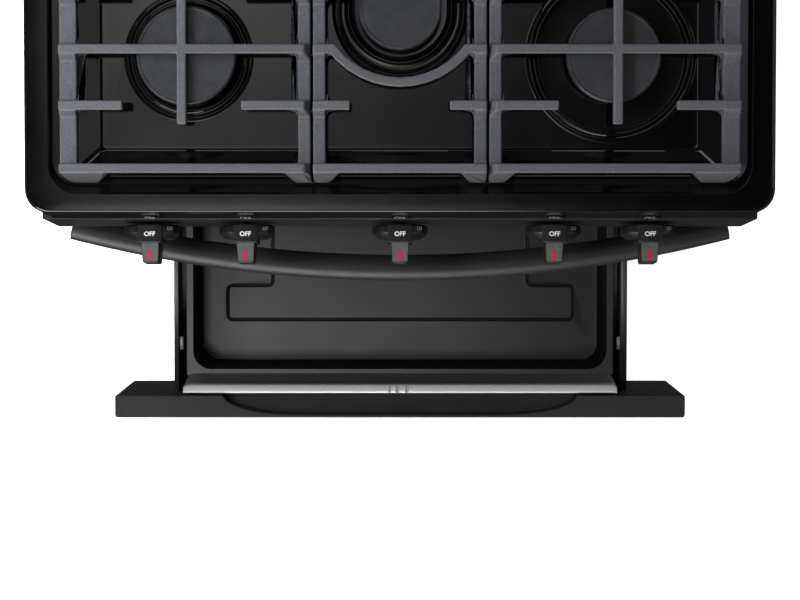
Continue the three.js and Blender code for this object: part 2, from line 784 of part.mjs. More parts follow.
function crossBar(x0, x1, y) {
  return box(x0, x1, y - barWide / 2, y + barWide / 2, barBottom, grateTop);
}

// Where a row meets the side bar at x: a ramp on the bar, and a fillet in its inner corner.
function fingerRoot(x, wide, inward, y) {
  const out = y < centreY ? -1 : 1;
  const edge = y + (out * barWide) / 2;
  const ramp = alongX([
    [edge - out, grateTop], [edge, grateTop], [edge + out * rampLong, frameTop], [edge - out, frameTop],
  ], Math.min(x, x + inward * wide), Math.max(x, x + inward * wide));
  const inner = x + inward * wide;
  const fillet = new THREE.Shape();
  fillet.moveTo(inner - inward, edge - out);
  fillet.lineTo(inner + inward * rootFillet, edge - out);
  fillet.lineTo(inner + inward * rootFillet, edge);
  fillet.quadraticCurveTo(inner, edge, inner, edge + out * rootFillet);
  fillet.lineTo(inner - inward, edge + out * rootFillet);
  fillet.closePath();
  return [ramp, alongZ(fillet, frameTop - frameTall, frameTop - 0.5, { curveSegments: 4 })];
}

// A diamond that fills the corners where two bars cross.
function crossing(x, y) {
  const reach = barWide / 2 + crossFillet;
  const outline = [[x - reach, y], [x, y - reach], [x + reach, y], [x, y + reach]];
  return alongZ(outline, barBottom + 1, grateTop);
}

// Rows of fingers mirrored about the middle of the cooktop.
const fingerRows = [crossY - fingerSpread, crossY + fingerSpread].flatMap((y) => [y, 2 * centreY - y]);
const crossRows = [crossY, 2 * centreY - crossY];

function sideGrate(x0, x1, burner) {
  const [left, right] = burner < 0 ? [outerBar, splitBar] : [splitBar, outerBar];
  const bars = crossRows.map((y) => crossBar(x0, x1, y));
  bars.push(crossBar(x0, x1, centreY));
  for (const y of fingerRows) {
    bars.push(crossBar(x0, burner - fingerReach, y));
    bars.push(crossBar(burner + fingerReach, x1, y));
  }
  for (const y of crossRows) {
    bars.push(box(burner - barWide / 2, burner + barWide / 2, y - spokeHalf, y + spokeHalf,
      barBottom, grateTop));
    bars.push(crossing(burner, y));
  }
  for (const y of [...fingerRows, ...crossRows])
    bars.push(...fingerRoot(x0, left, 1, y), ...fingerRoot(x1, right, -1, y));
  const [split, inward] = burner < 0 ? [x1, -1] : [x0, 1];
  const lowered = alongY([
    [split - inward, frameTop], [split, frameTop], [split + inward * rampLong, grateTop + 1],
    [split - inward, grateTop + 1],
  ], grateFront - 1, grateRear + 1);
  return cut(join(...grateFrame(x0, x1, left, right), bars), lowered);
}

// The middle section: its cross bars bow round the ends of the long burner.
function middleGrate(x0, x1) {
  const bars = [crossBar(x0, x1, centreY)];
  for (const y of fingerRows) {
    bars.push(crossBar(x0, x0 + 37, y));
    bars.push(crossBar(x1 - 37, x1, y));
  }
  for (const y of crossRows) bars.push(bowBar(x0, x1, y, y < centreY ? -1 : 1));
  for (const y of [...fingerRows, ...crossRows])
    bars.push(...fingerRoot(x0, splitBar, 1, y), ...fingerRoot(x1, splitBar, -1, y));
  return join(...grateFrame(x0, x1, splitBar, splitBar), bars);
}

function bowBar(x0, x1, y, out) {
  const bow = 33;
  const half = 65;
  const radius = (half ** 2 + bow ** 2) / (2 * bow);
  const middle = y + out * (bow - radius);
  const sweep = Math.asin(half / radius);
  const line = [[x0, y], [-half - 8, y]];
  for (let i = 0; i <= 12; i++) {
    const a = -sweep + (2 * sweep * i) / 12;
    line.push([radius * Math.sin(a), middle + out * radius * Math.cos(a)]);
  }
  line.push([half + 8, y], [x1, y]);
  const outline = strip(line, barWide).map(([a, b]) => [a, b + barWide / 2]);
  return alongZ(outline, barBottom, grateTop);
}

function grates() {
  const split = grateSplitX;
  add("grate_left", sideGrate(-grateOuterX, -split - grateGap, -crossX), "castIron");
  add("grate_centre", middleGrate(-split + grateGap, split - grateGap), "castIron");
  add("grate_right", sideGrate(split + grateGap, grateOuterX, crossX), "castIron");
}

// ---------------------------------------------------------------- control panel and gas line
const panelHeadY = panelFootY + panelLean;
const panelBack = frameY - fit;
const lean = Math.atan2(panelLean, panelHeight);
const manifoldY = 46;
const regulatorX = 250;
const regulatorZ = 150;

// A frame whose +Y is the panel's outward normal reversed, so that its -Y leaves the panel at a knob.
function knobFrame(x) {
  const g = new THREE.Group();
  g.position.set(x, panelFootY + (panelLean * knobRise) / panelHeight, panelBottom + knobRise);
  g.rotation.x = -lean;
  range.add(g);
  g.updateMatrix();
  return g;
}

function controls() {
  const halfWidth = bodyWidth / 2;
  const face = strip([
    [panelBack, panelBottom], [panelFootY, panelBottom], [panelHeadY, panelTop],
    [panelBack, panelTop],
  ], sheet);
  const cheek = [
    [panelBack, panelBottom], [panelBack, panelTop], [panelHeadY, panelTop],
    [panelFootY, panelBottom],
  ];
  const frames = knobXs.map(knobFrame);
  const holes = frames.map((f) =>
    rod(stemRadius + stemClearance, v(0, -20, 0), v(0, 12, 0), 16).applyMatrix4(f.matrix),
  );
  const panel = join(
    alongX(face, -halfWidth, halfWidth),
    alongX(cheek, -halfWidth, -halfWidth + sheet),
    alongX(cheek, halfWidth - sheet, halfWidth),
  );
  add("control_panel", cut(panel, holes), "enamel");

  frames.forEach((f, i) => {
    add(`valve_stem_${knobNames[i]}`, rod(stemRadius, v(0, -14, 0), v(0, 22, 0), 12), "brass", f);
    add(`knob_${knobNames[i]}`, knob(), "knobPlastic", f);
  });
  add("gas_manifold", gasManifold(frames), "zinc");
  add("gas_regulator", gasRegulator(), "brass");
}

// The skirt tapers to its front, and a bar to grip runs across it and past its rim at the top.
function knob() {
  const back = knobStandOff;
  const front = back + skirtDeep;
  const nose = front + gripDeep;
  const disc = lathe([
    [0, back], [knobRadius - 1, back], [knobRadius, back + 2], [knobRadius, back + 9],
    [knobRadius - 7, front], [0, front],
  ], 32).rotateX(Math.PI / 2);
  const outline = [
    [-back - 1, knobRadius - 0.5], [-front - 2, knobRadius - 0.5], [-nose, knobRadius - 2.5],
    [-nose, -knobRadius + 6], [-front - 2, -knobRadius + 3], [-front + 1, -knobRadius + 4], [-back - 1, -4],
  ];
  const bar = alongX(outline, -gripWide / 2, gripWide / 2);
  const bore = rod(stemRadius + 0.3, v(0, 0, 0), v(0, -15, 0), 12);
  return cut(join(disc, bar), bore);
}

// Supply pipe behind the panel, with a valve for each knob, and its run down the right side.
function gasManifold(frames) {
  const z = panelBottom + knobRise;
  const sideRun = sideX - 22;
  const rearRun = baseRear - 34;
  const corner = 24;
  const path = new THREE.CurvePath();
  const stops = [
    v(-knobXs[4] - 22, manifoldY, z), v(sideRun, manifoldY, z), v(sideRun, rearRun, z),
    v(sideRun, rearRun, regulatorZ), v(regulatorX + 24, rearRun, regulatorZ),
  ];
  let from = stops[0];
  for (let i = 1; i < stops.length - 1; i++) {
    const into = stops[i].clone().sub(stops[i - 1]).normalize().multiplyScalar(corner);
    const out = stops[i + 1].clone().sub(stops[i]).normalize().multiplyScalar(corner);
    const start = stops[i].clone().sub(into);
    const end = stops[i].clone().add(out);
    path.add(new THREE.LineCurve3(from, start));
    path.add(new THREE.QuadraticBezierCurve3(start, stops[i], end));
    from = end;
  }
  path.add(new THREE.LineCurve3(from, stops.at(-1)));
  const valves = frames.map((f) => {
    const body = rod(10, v(0, 10, 0), v(0, 42, 0), 12);
    const seat = rod(stemRadius + 0.6, v(0, 0, 0), v(0, 27, 0), 12);
    return cut(body, seat).transform(f.matrix.elements);
  });
  return join(pipe(path, 8), valves);
}

// A round pipe through points taken evenly along its path.
function pipe(path, radius) {
  const length = path.getLength();
  const points = path.getSpacedPoints(Math.round(length / 24));
  return tube(new THREE.CatmullRomCurve3(points, false, "centripetal"), radius, radius, 8, points.length - 1);
}

function gasRegulator() {
  const y = baseRear - 34;
  const inlet = v(regulatorX, bodyDepth + 8, regulatorZ);
  const dome = rod(24, v(regulatorX, y, regulatorZ), v(regulatorX, y, regulatorZ + 34), 20);
  const block = box(regulatorX - 23, regulatorX + 23, y - 18, y + 18, regulatorZ - 20, regulatorZ + 14);
  const neck = rod(15, v(regulatorX, y, regulatorZ), inlet, 16);
  const bore = rod(8, v(regulatorX, y + 12, regulatorZ), inlet.clone().setY(bodyDepth + 20), 16);
  return cut(join(block, dome, neck), bore);
}

// ---------------------------------------------------------------- backguard
function backguard() {
  const half = guardWidth / 2;
  const bottom = skirtBottom;
  const top = rimHeight + guardHeight;
  const frontAt = (z) => guardFront + (guardLean * Math.max(z - rimHeight, 0)) / (top - rimHeight);
  const outline = [
    [guardFront, bottom], [guardFront, rimHeight], [frontAt(top), top - 12],
    [frontAt(top) + 10, top], [bodyDepth, top], [bodyDepth, bottom],
  ];
  const inside = offset(outline, sheet);
  inside[0][1] -= 5;
  inside.at(-1)[1] -= 5;
  const hollow = alongX(inside, -half + sheet, half - sheet);
  const zMid = displayBottom + displayHeight / 2;
  const opening = box(-displayHalf, displayHalf, 0, bodyDepth - 10, displayBottom,
    displayBottom + displayHeight);
  const vents = [];
  for (let i = 0; i < 9; i++) {
    const x = -240 + i * 60;
    vents.push(box(x - 23, x + 23, 0, bodyDepth - 10, rimHeight + 26, rimHeight + 36));
  }
  add("backguard", cut(alongX(outline, -half, half), hollow, opening, vents), "paint");

  const slope = guardLean / (top - rimHeight - 12);
  const y0 = guardFront + slope * (zMid - rimHeight);
  const glass = box(-displayHalf + fit, displayHalf - fit, -0.5, 5, -displayHeight / 2 + fit,
    displayHeight / 2 - fit);
  glass.rotateX(-Math.atan(slope)).translate(0, y0, zMid);
  add("display_glass", glass, "glass");
}

// ---------------------------------------------------------------- the whole range
body();
oven();
door();
drawer();
cooktop();
burnerSet();
grates();
controls();
backguard();

// The outline runs from the drawn drawer's face to the gas inlet.
range.position.y = -(-drawerOpen + bodyDepth + 8) / 2;

export default range;
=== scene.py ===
import math
import random

import bpy
import bmesh
from mathutils import Matrix, Vector
from mathutils.geometry import tessellate_polygon


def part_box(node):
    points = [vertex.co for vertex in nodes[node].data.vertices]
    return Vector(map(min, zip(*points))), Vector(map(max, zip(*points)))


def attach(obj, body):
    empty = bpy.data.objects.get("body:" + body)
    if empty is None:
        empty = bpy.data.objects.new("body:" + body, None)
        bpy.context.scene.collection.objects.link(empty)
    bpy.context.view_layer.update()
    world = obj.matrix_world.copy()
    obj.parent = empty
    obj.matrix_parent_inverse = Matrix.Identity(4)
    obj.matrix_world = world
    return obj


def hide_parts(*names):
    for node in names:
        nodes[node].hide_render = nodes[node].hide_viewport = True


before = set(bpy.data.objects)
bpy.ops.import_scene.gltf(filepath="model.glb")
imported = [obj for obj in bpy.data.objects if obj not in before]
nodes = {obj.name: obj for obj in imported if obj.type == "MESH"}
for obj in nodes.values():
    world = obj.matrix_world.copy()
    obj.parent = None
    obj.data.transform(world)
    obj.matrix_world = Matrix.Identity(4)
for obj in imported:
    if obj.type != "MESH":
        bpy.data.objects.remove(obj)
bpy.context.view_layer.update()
dice = random.Random(41)
print("frame loaded:", len(nodes), "nodes")

# Places below are in millimetres: x from the middle, y back from the door's face, z from the floor.
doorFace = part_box("door_outer_panel")[0].y


def at(x, y, z):
    return Vector((x * 0.001, doorFace + y * 0.001, z * 0.001))


def span(name):
    # a CAD node's lowest and highest corner, in the millimetres above
    low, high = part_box(name)
    return [Vector((p.x * 1000, (p.y - doorFace) * 1000, p.z * 1000)) for p in (low, high)]


def linearColour(hexText):
    parts = [int(hexText[i:i + 2], 16) / 255 for i in (0, 2, 4)]
    return [c / 12.92 if c <= 0.04045 else ((c + 0.055) / 1.055) ** 2.4 for c in parts] + [1.0]


def addObject(name, data):
    thing = bpy.data.objects.new(name, data)
    bpy.context.scene.collection.objects.link(thing)
    return thing


def addNode(tree, kind, settings=None, links=None):
    # one node, with its properties and either a value or a link for each named socket
    node = tree.nodes.new(kind)
    for key, value in (settings or {}).items():
        setattr(node, key, value)
    for key, value in (links or {}).items():
        if isinstance(value, bpy.types.NodeSocket):
            tree.links.new(value, node.inputs[key])
        else:
            node.inputs[key].default_value = value
    return node


def remap(tree, value, *limits, smooth=False):
    # limits: from low, from high, and, where they aren't 0 and 1, to low and to high
    kind = "SMOOTHSTEP" if smooth else "LINEAR"
    return addNode(tree, "ShaderNodeMapRange", {"interpolation_type": kind},
                   {0: value, **dict(enumerate(limits, 1))}).outputs[0]


def blend(tree, share, under, over):
    return addNode(tree, "ShaderNodeMix", {"data_type": "RGBA"}, {
        0: share, 6: under, 7: over}).outputs[2]


def maths(tree, operation, one, two):
    return addNode(tree, "ShaderNodeMath", {"operation": operation}, {0: one, 1: two}).outputs[0]


def noise(tree, vector, size, detail):
    # size is the grain in millimetres
    return addNode(tree, "ShaderNodeTexNoise", links={
        "Vector": vector, "Scale": 1000 / size, "Detail": detail}).outputs[0]


def cells(tree, vector, size):
    return addNode(tree, "ShaderNodeTexVoronoi", links={"Vector": vector, "Scale": 1000 / size})


# ---- finishes: sizes in millimetres, each bump as its grain and depth
ink = dict(patch=0.8, rough=(0.5, 0.6), roughPatch=1, bumps=[(0.5, 0.006)], shader={"IOR": 1.45})
recipes = {
    # vitreous enamel fired on pressed steel: deep black gloss, with the faint ripple of a melted coat
    "firedEnamel": dict(
        colours=("030303", "060607"), patch=60, rough=(0.045, 0.085), roughPatch=24,
        bumps=[(9, 0.006), (2.2, 0.0012)], shader={"IOR": 1.52, "Specular IOR Level": 0.5}),
    # satin enamel of the control panel: the same black glass, fired matt
    "satinEnamel": dict(
        colours=("131314", "18181a"), patch=50, rough=(0.30, 0.38), roughPatch=16,
        bumps=[(7, 0.006), (0.9, 0.006)], shader={"IOR": 1.52}),
    # baked powder coat on sheet steel: satin black, its fine pebble drawn at 0.9 mm to show
    "powderCoat": dict(
        colours=("19191a", "1e1e1f"), patch=35, rough=(0.38, 0.46), roughPatch=12,
        bumps=[(0.9, 0.02), (6, 0.015)], wear=("3a3a3b", 0.25), shader={"IOR": 1.5}),
    # smooth stoved paint on the drawer's deep-drawn pan: softer shine than the fired enamel
    "stovedPaint": dict(
        colours=("2a2a2e", "2d2e31"), patch=120, rough=(0.15, 0.18), roughPatch=60,
        bumps=[(60, 0.02), (1.6, 0.0012)], shader={"IOR": 1.5}),
    # the pan's steep walls: the same paint, matt and darker, the darker colour a painted shade for the
    # little light the walls get
    "panWallPaintedShade": dict(
        colours=("0b0b0c", "0f0f10"), patch=60, rough=(0.55, 0.65), roughPatch=30,
        bumps=[(1.2, 0.01)], shader={"IOR": 1.35}),
    # sand-cast iron under matt enamel: grey and pitted, grains drawn at about 1 mm to show; its pale
    # flecks are the grain painted bright as glints, so it seems to sparkle
    "castIron": dict(
        colours=("34353a", "45464b"), patch=1.3, rough=(0.44, 0.66), roughPatch=2,
        bumps=[(1.0, 0.11), (2.4, 0.05, "cells"), (12, 0.08)],
        flecks=("76777c", 0.9, 0.42), wear=("5f6064", 0.5), shader={"IOR": 1.5}),
    # die-cast aluminium burner heads: dull grey with a soft metallic bloom and heat tint
    "dieCastAlloy": dict(
        colours=("8b8a86", "75736e"), patch=8, rough=(0.34, 0.5), roughPatch=3,
        bumps=[(0.8, 0.02)], wear=("b0afab", 0.4), shader={"Metallic": 1.0}),
    # pressed steel caps in matt enamel: even dark grey, slightly dusty
    "mattEnamel": dict(
        colours=("1e1f21", "27282b"), patch=14, rough=(0.26, 0.38), roughPatch=6,
        bumps=[(0.9, 0.006)], shader={"IOR": 1.5}),
    # moulded phenolic knobs: satin black, fine spark-eroded grain
    "mouldedPhenolic": dict(
        colours=("0b0b0c", "101011"), patch=9, rough=(0.33, 0.43), roughPatch=3,
        bumps=[(0.6, 0.012)], wear=("262627", 0.3), shader={"IOR": 1.5}),
    # the grip's top plate: the same plastic painted a lighter metal-grey, a painted highlight for the
    # light falling on the grip's top
    "lacqueredGrip": dict(
        colours=("4a4a4c", "565658"), patch=6, rough=(0.3, 0.42), roughPatch=2,
        bumps=[(0.7, 0.01)], shader={"IOR": 1.5, "Metallic": 0.35}),
    # hot-dip galvanised sheet: cool grey with frosty spangles about 9 mm across
    "galvanisedSheet": dict(
        colours=("a4a7aa", "b6b9bb"), patch=9, cells=True, rough=(0.42, 0.5), roughPatch=9,
        bumps=[(3, 0.006)], shader={"Metallic": 1.0}),
    # rolled satin stainless: bright, with fine lines along its length
    "rolledStainless": dict(
        colours=("d4d5d8", "dadbde"), patch=2.2, stretch=(0.02, 1, 1), rough=(0.50, 0.54),
        roughPatch=3, bumps=[(0.7, 0.001)], shader={"Metallic": 1.0}),
    # chromed steel wire: clean mirror with slight waviness
    "chromedWire": dict(
        colours=("c4c5c8", "d2d3d5"), patch=20, rough=(0.08, 0.16), roughPatch=9,
        bumps=[(4, 0.004)], shader={"Metallic": 1.0}),
    # speckled oven enamel: slate blue-grey glass with pale specks about a millimetre wide
    "speckledEnamel": dict(
        colours=("25272d", "2c2e35"), patch=40, rough=(0.16, 0.26), roughPatch=12,
        bumps=[(5, 0.01)], flecks=("8b8e96", 1.8, 0.24), shader={"IOR": 1.52}),
    # turned brass: warm yellow, tool rings too fine to show so only a soft sheen
    "turnedBrass": dict(
        colours=("b08d4a", "9b7a3c"), patch=5, rough=(0.22, 0.36), roughPatch=1.5,
        bumps=[(0.8, 0.01)], shader={"Metallic": 1.0}),
    # blackened brass of the valve stems: dark oxide with a dull warm shine
    "blackenedBrass": dict(
        colours=("1c1a17", "27241f"), patch=4, rough=(0.4, 0.5), roughPatch=1.5,
        bumps=[(0.8, 0.01)], shader={"Metallic": 0.6}),
    # extruded silicone and rubber: matt, slightly bloomed
    "mouldedRubber": dict(
        colours=("161616", "1f1f1f"), patch=6, rough=(0.7, 0.85), roughPatch=3,
        bumps=[(1.1, 0.03)], shader={"IOR": 1.45}),
    # tempered dark glass: near black, hard and clear reflections
    "temperedGlass": dict(
        colours=("050607", "08090a"), patch=120, rough=(0.012, 0.03), roughPatch=60,
        bumps=[(90, 0.01)], shader={"IOR": 1.52}),
    # tinted viewing glass: lets a little of the oven show
    "tintedGlass": dict(
        colours=("56595c", "5c6063"), patch=120, rough=(0.01, 0.02), roughPatch=60,
        bumps=[(90, 0.008)], shader={"IOR": 1.5, "Transmission Weight": 0.82}),
    # screen-printed inks: flat, slightly proud of what they sit on
    "whiteInk": dict(ink, colours=("d9d9d6", "c9c9c6")),
    "greyInk": dict(ink, colours=("8e8f91", "7c7d80")),
    "redInk": dict(ink, colours=("9c141d", "840f17"), rough=(0.4, 0.5)),
    # lit segments behind the display glass
    "litDigits": dict(
        colours=("8fd9ff", "a4e2ff"), patch=3, rough=(0.4, 0.5), roughPatch=2,
        bumps=[(1, 0.002)], shader={
            "IOR": 1.45, "Emission Color": linearColour("8fd9ff"), "Emission Strength": 1.6}),
    # glazed alumina of the igniters: clean white ceramic
    "glazedCeramic": dict(
        colours=("d8d5cd", "cbc8bf"), patch=3, rough=(0.15, 0.25), roughPatch=2,
        bumps=[(1, 0.01)], shader={"IOR": 1.6}),
}
texture = {"noiseRange": (0.3, 0.7), "fleckFade": (0.45, 0.15), "fleckShare": 0.6,
           "wornRange": (0.52, 0.62), "patchDetail": 4.0, "smearDetail": 3.0, "bumpDetail": 2.0}


def makeMaterial(name):
    recipe = recipes[name]
    material = bpy.data.materials.new(name)
    material.use_nodes = True
    tree = material.node_tree
    tree.nodes.clear()
    shader = addNode(tree, "ShaderNodeBsdfPrincipled", links=recipe.get("shader"))
    addNode(tree, "ShaderNodeOutputMaterial", links={"Surface": shader.outputs[0]})
    spot = addNode(tree, "ShaderNodeTexCoord").outputs["Object"]
    stretched = addNode(tree, "ShaderNodeMapping", links={
        "Vector": spot, "Scale": recipe.get("stretch", (1, 1, 1))}).outputs[0]

    if recipe.get("cells"):
        patches = cells(tree, stretched, recipe["patch"]).outputs["Color"]
    else:
        patches = noise(tree, stretched, recipe["patch"], texture["patchDetail"])
    colour = blend(tree, remap(tree, patches, *texture["noiseRange"]),
                   *[linearColour(each) for each in recipe["colours"]])

    # pale flecks: real specks in the oven enamel; on the cast iron, painted glints on its grain
    if "flecks" in recipe:
        fleckHex, fleckSize, share = recipe["flecks"]
        grains = cells(tree, spot, fleckSize)
        pick = addNode(tree, "ShaderNodeSeparateColor", links={0: grains.outputs["Color"]}).outputs[0]
        dot = remap(tree, grains.outputs["Distance"], *texture["fleckFade"])
        mask = maths(tree, "MULTIPLY", maths(tree, "LESS_THAN", pick, share), dot)
        colour = blend(tree, maths(tree, "MULTIPLY", mask, texture["fleckShare"]), colour,
                       linearColour(fleckHex))

    if "wear" in recipe:  # handled edges a little paler
        wearHex, strength = recipe["wear"]
        edge = addNode(tree, "ShaderNodeNewGeometry").outputs["Pointiness"]
        rubbed = remap(tree, edge, *texture["wornRange"], 0, strength)
        colour = blend(tree, rubbed, colour, linearColour(wearHex))
    tree.links.new(colour, shader.inputs["Base Color"])

    smear = noise(tree, stretched, recipe["roughPatch"], texture["smearDetail"])
    rough = remap(tree, smear, *texture["noiseRange"], *recipe["rough"])
    tree.links.new(rough, shader.inputs["Roughness"])

    normal = None
    for size, depth, *kind in recipe["bumps"]:
        height = cells(tree, stretched, size).outputs["Distance"] if kind else \
            noise(tree, stretched, size, texture["bumpDetail"])
        bump = addNode(tree, "ShaderNodeBump", links={
            "Height": height, "Distance": depth * 0.001, "Strength": 1.0})
        if normal:
            tree.links.new(normal, bump.inputs["Normal"])
        normal = bump.outputs[0]
    tree.links.new(normal, shader.inputs["Normal"])
    return material


finishes = {name: makeMaterial(name) for name in recipes}
print("finishes made:", len(finishes))


# ---- mesh helpers: a shape is a pair, its points in millimetres and its faces
def piece(name, shape, finish, body, replaces=(), sharp=32, where=None):
    # where is a matrix when the points are in a frame of their own; edges above sharp stay crisp
    points, faces = shape
    mesh = bpy.data.meshes.new(name)
    mesh.from_pydata([at(*p) if where is None else where @ Vector(p) for p in points], [], faces)
    sheet = bmesh.new()
    sheet.from_mesh(mesh)
    if where is None:
        bmesh.ops.remove_doubles(sheet, verts=sheet.verts, dist=1e-6)
    bmesh.ops.recalc_face_normals(sheet, faces=sheet.faces)
    sheet.to_mesh(mesh)
    sheet.free()
    return place(name, mesh, finish, body, replaces, sharp)


def place(name, mesh, finish, body, replaces=(), sharp=32):
    mesh.shade_smooth()
    mesh.set_sharp_from_angle(angle=math.radians(sharp))
    mesh.materials.clear()
    for each in (finish if isinstance(finish, (list, tuple)) else [finish]):
        mesh.materials.append(finishes[each])
    thing = addObject(name, mesh)
    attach(thing, body)
    if replaces:
        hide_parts(*replaces)
    return thing


def baked(thing):
    return bpy.data.meshes.new_from_object(
        thing.evaluated_get(bpy.context.evaluated_depsgraph_get()))


def levelFlats(thing):
    # flats stay flat beside a rounded edge
    thing.modifiers.new("flatFaces", "WEIGHTED_NORMAL").keep_sharp = True


def softenEdges(thing, width, segments=2, angle=32):
    # a rounded edge in millimetres
    bevel = thing.modifiers.new("roundedEdges", "BEVEL")
    bevel.width = width * 0.001
    bevel.segments = segments
    bevel.limit_method = "ANGLE"
    bevel.angle_limit = math.radians(angle)
    bevel.use_clamp_overlap = False
    bevel.miter_outer = "MITER_ARC"
    levelFlats(thing)


def thicken(thing, sheet, side=-1):
    # a skin gets the thickness of its sheet, in millimetres
    wall = thing.modifiers.new("sheet", "SOLIDIFY")
    wall.thickness = sheet * 0.001
    wall.offset = side


def circle(radius, count, turn=0.0):
    return [(radius * math.cos(turn + 2 * math.pi * i / count),
             radius * math.sin(turn + 2 * math.pi * i / count)) for i in range(count)]


def arc(cx, cy, radius, start, steps):
    # a quarter turn from start, in degrees
    turns = [math.radians(start + 90 * i / steps) for i in range(steps + 1)]
    return [(cx + radius * math.cos(a), cy + radius * math.sin(a)) for a in turns]


def roundedBox(halfX, y0, y1, radius, z, steps=10, middle=0.0):
    corners = ((halfX - radius, y1 - radius, 0), (radius - halfX, y1 - radius, 90),
               (radius - halfX, y0 + radius, 180), (halfX - radius, y0 + radius, 270))
    return [(middle + x, y, z) for cx, cy, start in corners
            for x, y in arc(cx, cy, radius, start, steps)]


def stadium(x, y, radius, reach, z, count=96):
    # a circle, or a long loop where reach is the half length of its straight sides
    return [(x + a, y + b + (reach if b > 0 else -reach), z)
            for a, b in circle(radius, count, math.pi / count)]


def stitch(rings, closed=True, start=0):
    # quads between neighbouring rings of equal length
    count = len(rings[0])
    last = count if closed else count - 1
    return [(start + r * count + i, start + r * count + (i + 1) % count,
             start + (r + 1) * count + (i + 1) % count, start + (r + 1) * count + i)
            for r in range(len(rings) - 1) for i in range(last)]


def skin(rings, closed=True):
    # an open shape through rings
    return [p for ring in rings for p in ring], stitch(rings, closed)


def solid(rings):
    # a shape through rings, capped at both ends
    points, faces = skin(rings)
    count = len(rings[0])
    faces.append(tuple(range(count - 1, -1, -1)))
    faces.append(tuple(len(points) - count + i for i in range(count)))
    return points, faces


def bend(a, b, c, steps):
    # points from a to c, drawn towards b
    return [a * (1 - t) ** 2 + b * 2 * t * (1 - t) + c * t ** 2
            for t in (i / steps for i in range(steps + 1))]


def softened(keys, steps=5):
    # rounds each key of an open line of tuples; a key's last number is how far its corner is cut
    out = [keys[0][:-1]]
    for before, key, after in zip(keys, keys[1:], keys[2:]):
        cut = key[-1]
        a, b, c = Vector(before[:-1]), Vector(key[:-1]), Vector(after[:-1])
        if not cut:
            out.append(tuple(b))
            continue
        start = b + (a - b) * min(0.48, cut / (a - b).length)
        end = b + (c - b) * min(0.48, cut / (c - b).length)
        out += [tuple(q) for q in bend(start, b, end, steps)]
    out.append(keys[-1][:-1])
    return out


def sweep(path, across):
    # a closed section of (side, up) points carried along a path; both ends capped
    rings = []
    for i, p in enumerate(path):
        p = Vector(p)
        ahead = Vector(path[min(i + 1, len(path) - 1)]) - Vector(path[max(i - 1, 0)])
        ahead.normalize()
        side = ahead.cross(Vector((0, 0, 1))).normalized()
        up = side.cross(ahead).normalized()
        rings.append([tuple(p + side * s + up * u) for s, u in across])
    return solid(rings)


def joined(*parts):
    points, faces = [], []
    for some, theirs in parts:
        start = len(points)
        points += some
        faces += [tuple(start + i for i in face) for face in theirs]
    return points, faces


def blockOf(x0, x1, y0, y1, z0, z1, radius=0.6):
    # a small block with rounded upright corners and softened ends
    halfX, middle = (x1 - x0) / 2, (x0 + x1) / 2
    r = min(radius, halfX * 0.9, (y1 - y0) * 0.45)
    e = min(radius, (z1 - z0) * 0.3) * 0.6
    rings = [roundedBox(halfX - inset, y0 + inset, y1 - inset, max(r - inset, 0.05), z, 4, middle)
             for inset, z in ((e, z0), (0, z0 + e), (0, z1 - e), (e, z1))]
    return solid(rings)


def makeShading(angle=30):
    # CAD nodes come with flat faces: curved ones are shaded round again, crisp edges kept
    group = bpy.data.node_groups.new("roundShading", "GeometryNodeTree")
    for way in ("INPUT", "OUTPUT"):
        group.interface.new_socket("Geometry", in_out=way, socket_type="NodeSocketGeometry")
    entry = addNode(group, "NodeGroupInput")
    clean = addNode(group, "GeometryNodeRemoveAttribute", links={
        "Geometry": entry.outputs[0], "Name": "custom_normal"})
    smooth = addNode(group, "GeometryNodeSetShadeSmooth", {"domain": "FACE"}, {
        "Geometry": clean.outputs[0], "Shade Smooth": True})
    fold = addNode(group, "GeometryNodeInputMeshEdgeAngle").outputs[0]
    crisp = maths(group, "GREATER_THAN", fold, math.radians(angle))
    edges = addNode(group, "GeometryNodeSetShadeSmooth", {"domain": "EDGE"}, {
        "Geometry": smooth.outputs[0], "Selection": crisp, "Shade Smooth": False})
    addNode(group, "NodeGroupOutput", links={0: edges.outputs[0]})
    return group


roundShading = makeShading()


def dressNode(name, finish, edge, segments):
    # a CAD node that stays: merged, its flats made whole, its edges eased, and a finish
    thing = nodes[name]
    thing.modifiers.new("merge", "WELD").merge_threshold = 1e-5
    flats = thing.modifiers.new("wholeFlats", "DECIMATE")
    flats.decimate_type = "DISSOLVE"
    flats.angle_limit = math.radians(1)
    thing.modifiers.new("roundShading", "NODES").node_group = roundShading
    if edge:
        softenEdges(thing, edge, segments)
    for held in thing.material_slots:
        held.material = finishes[finish]


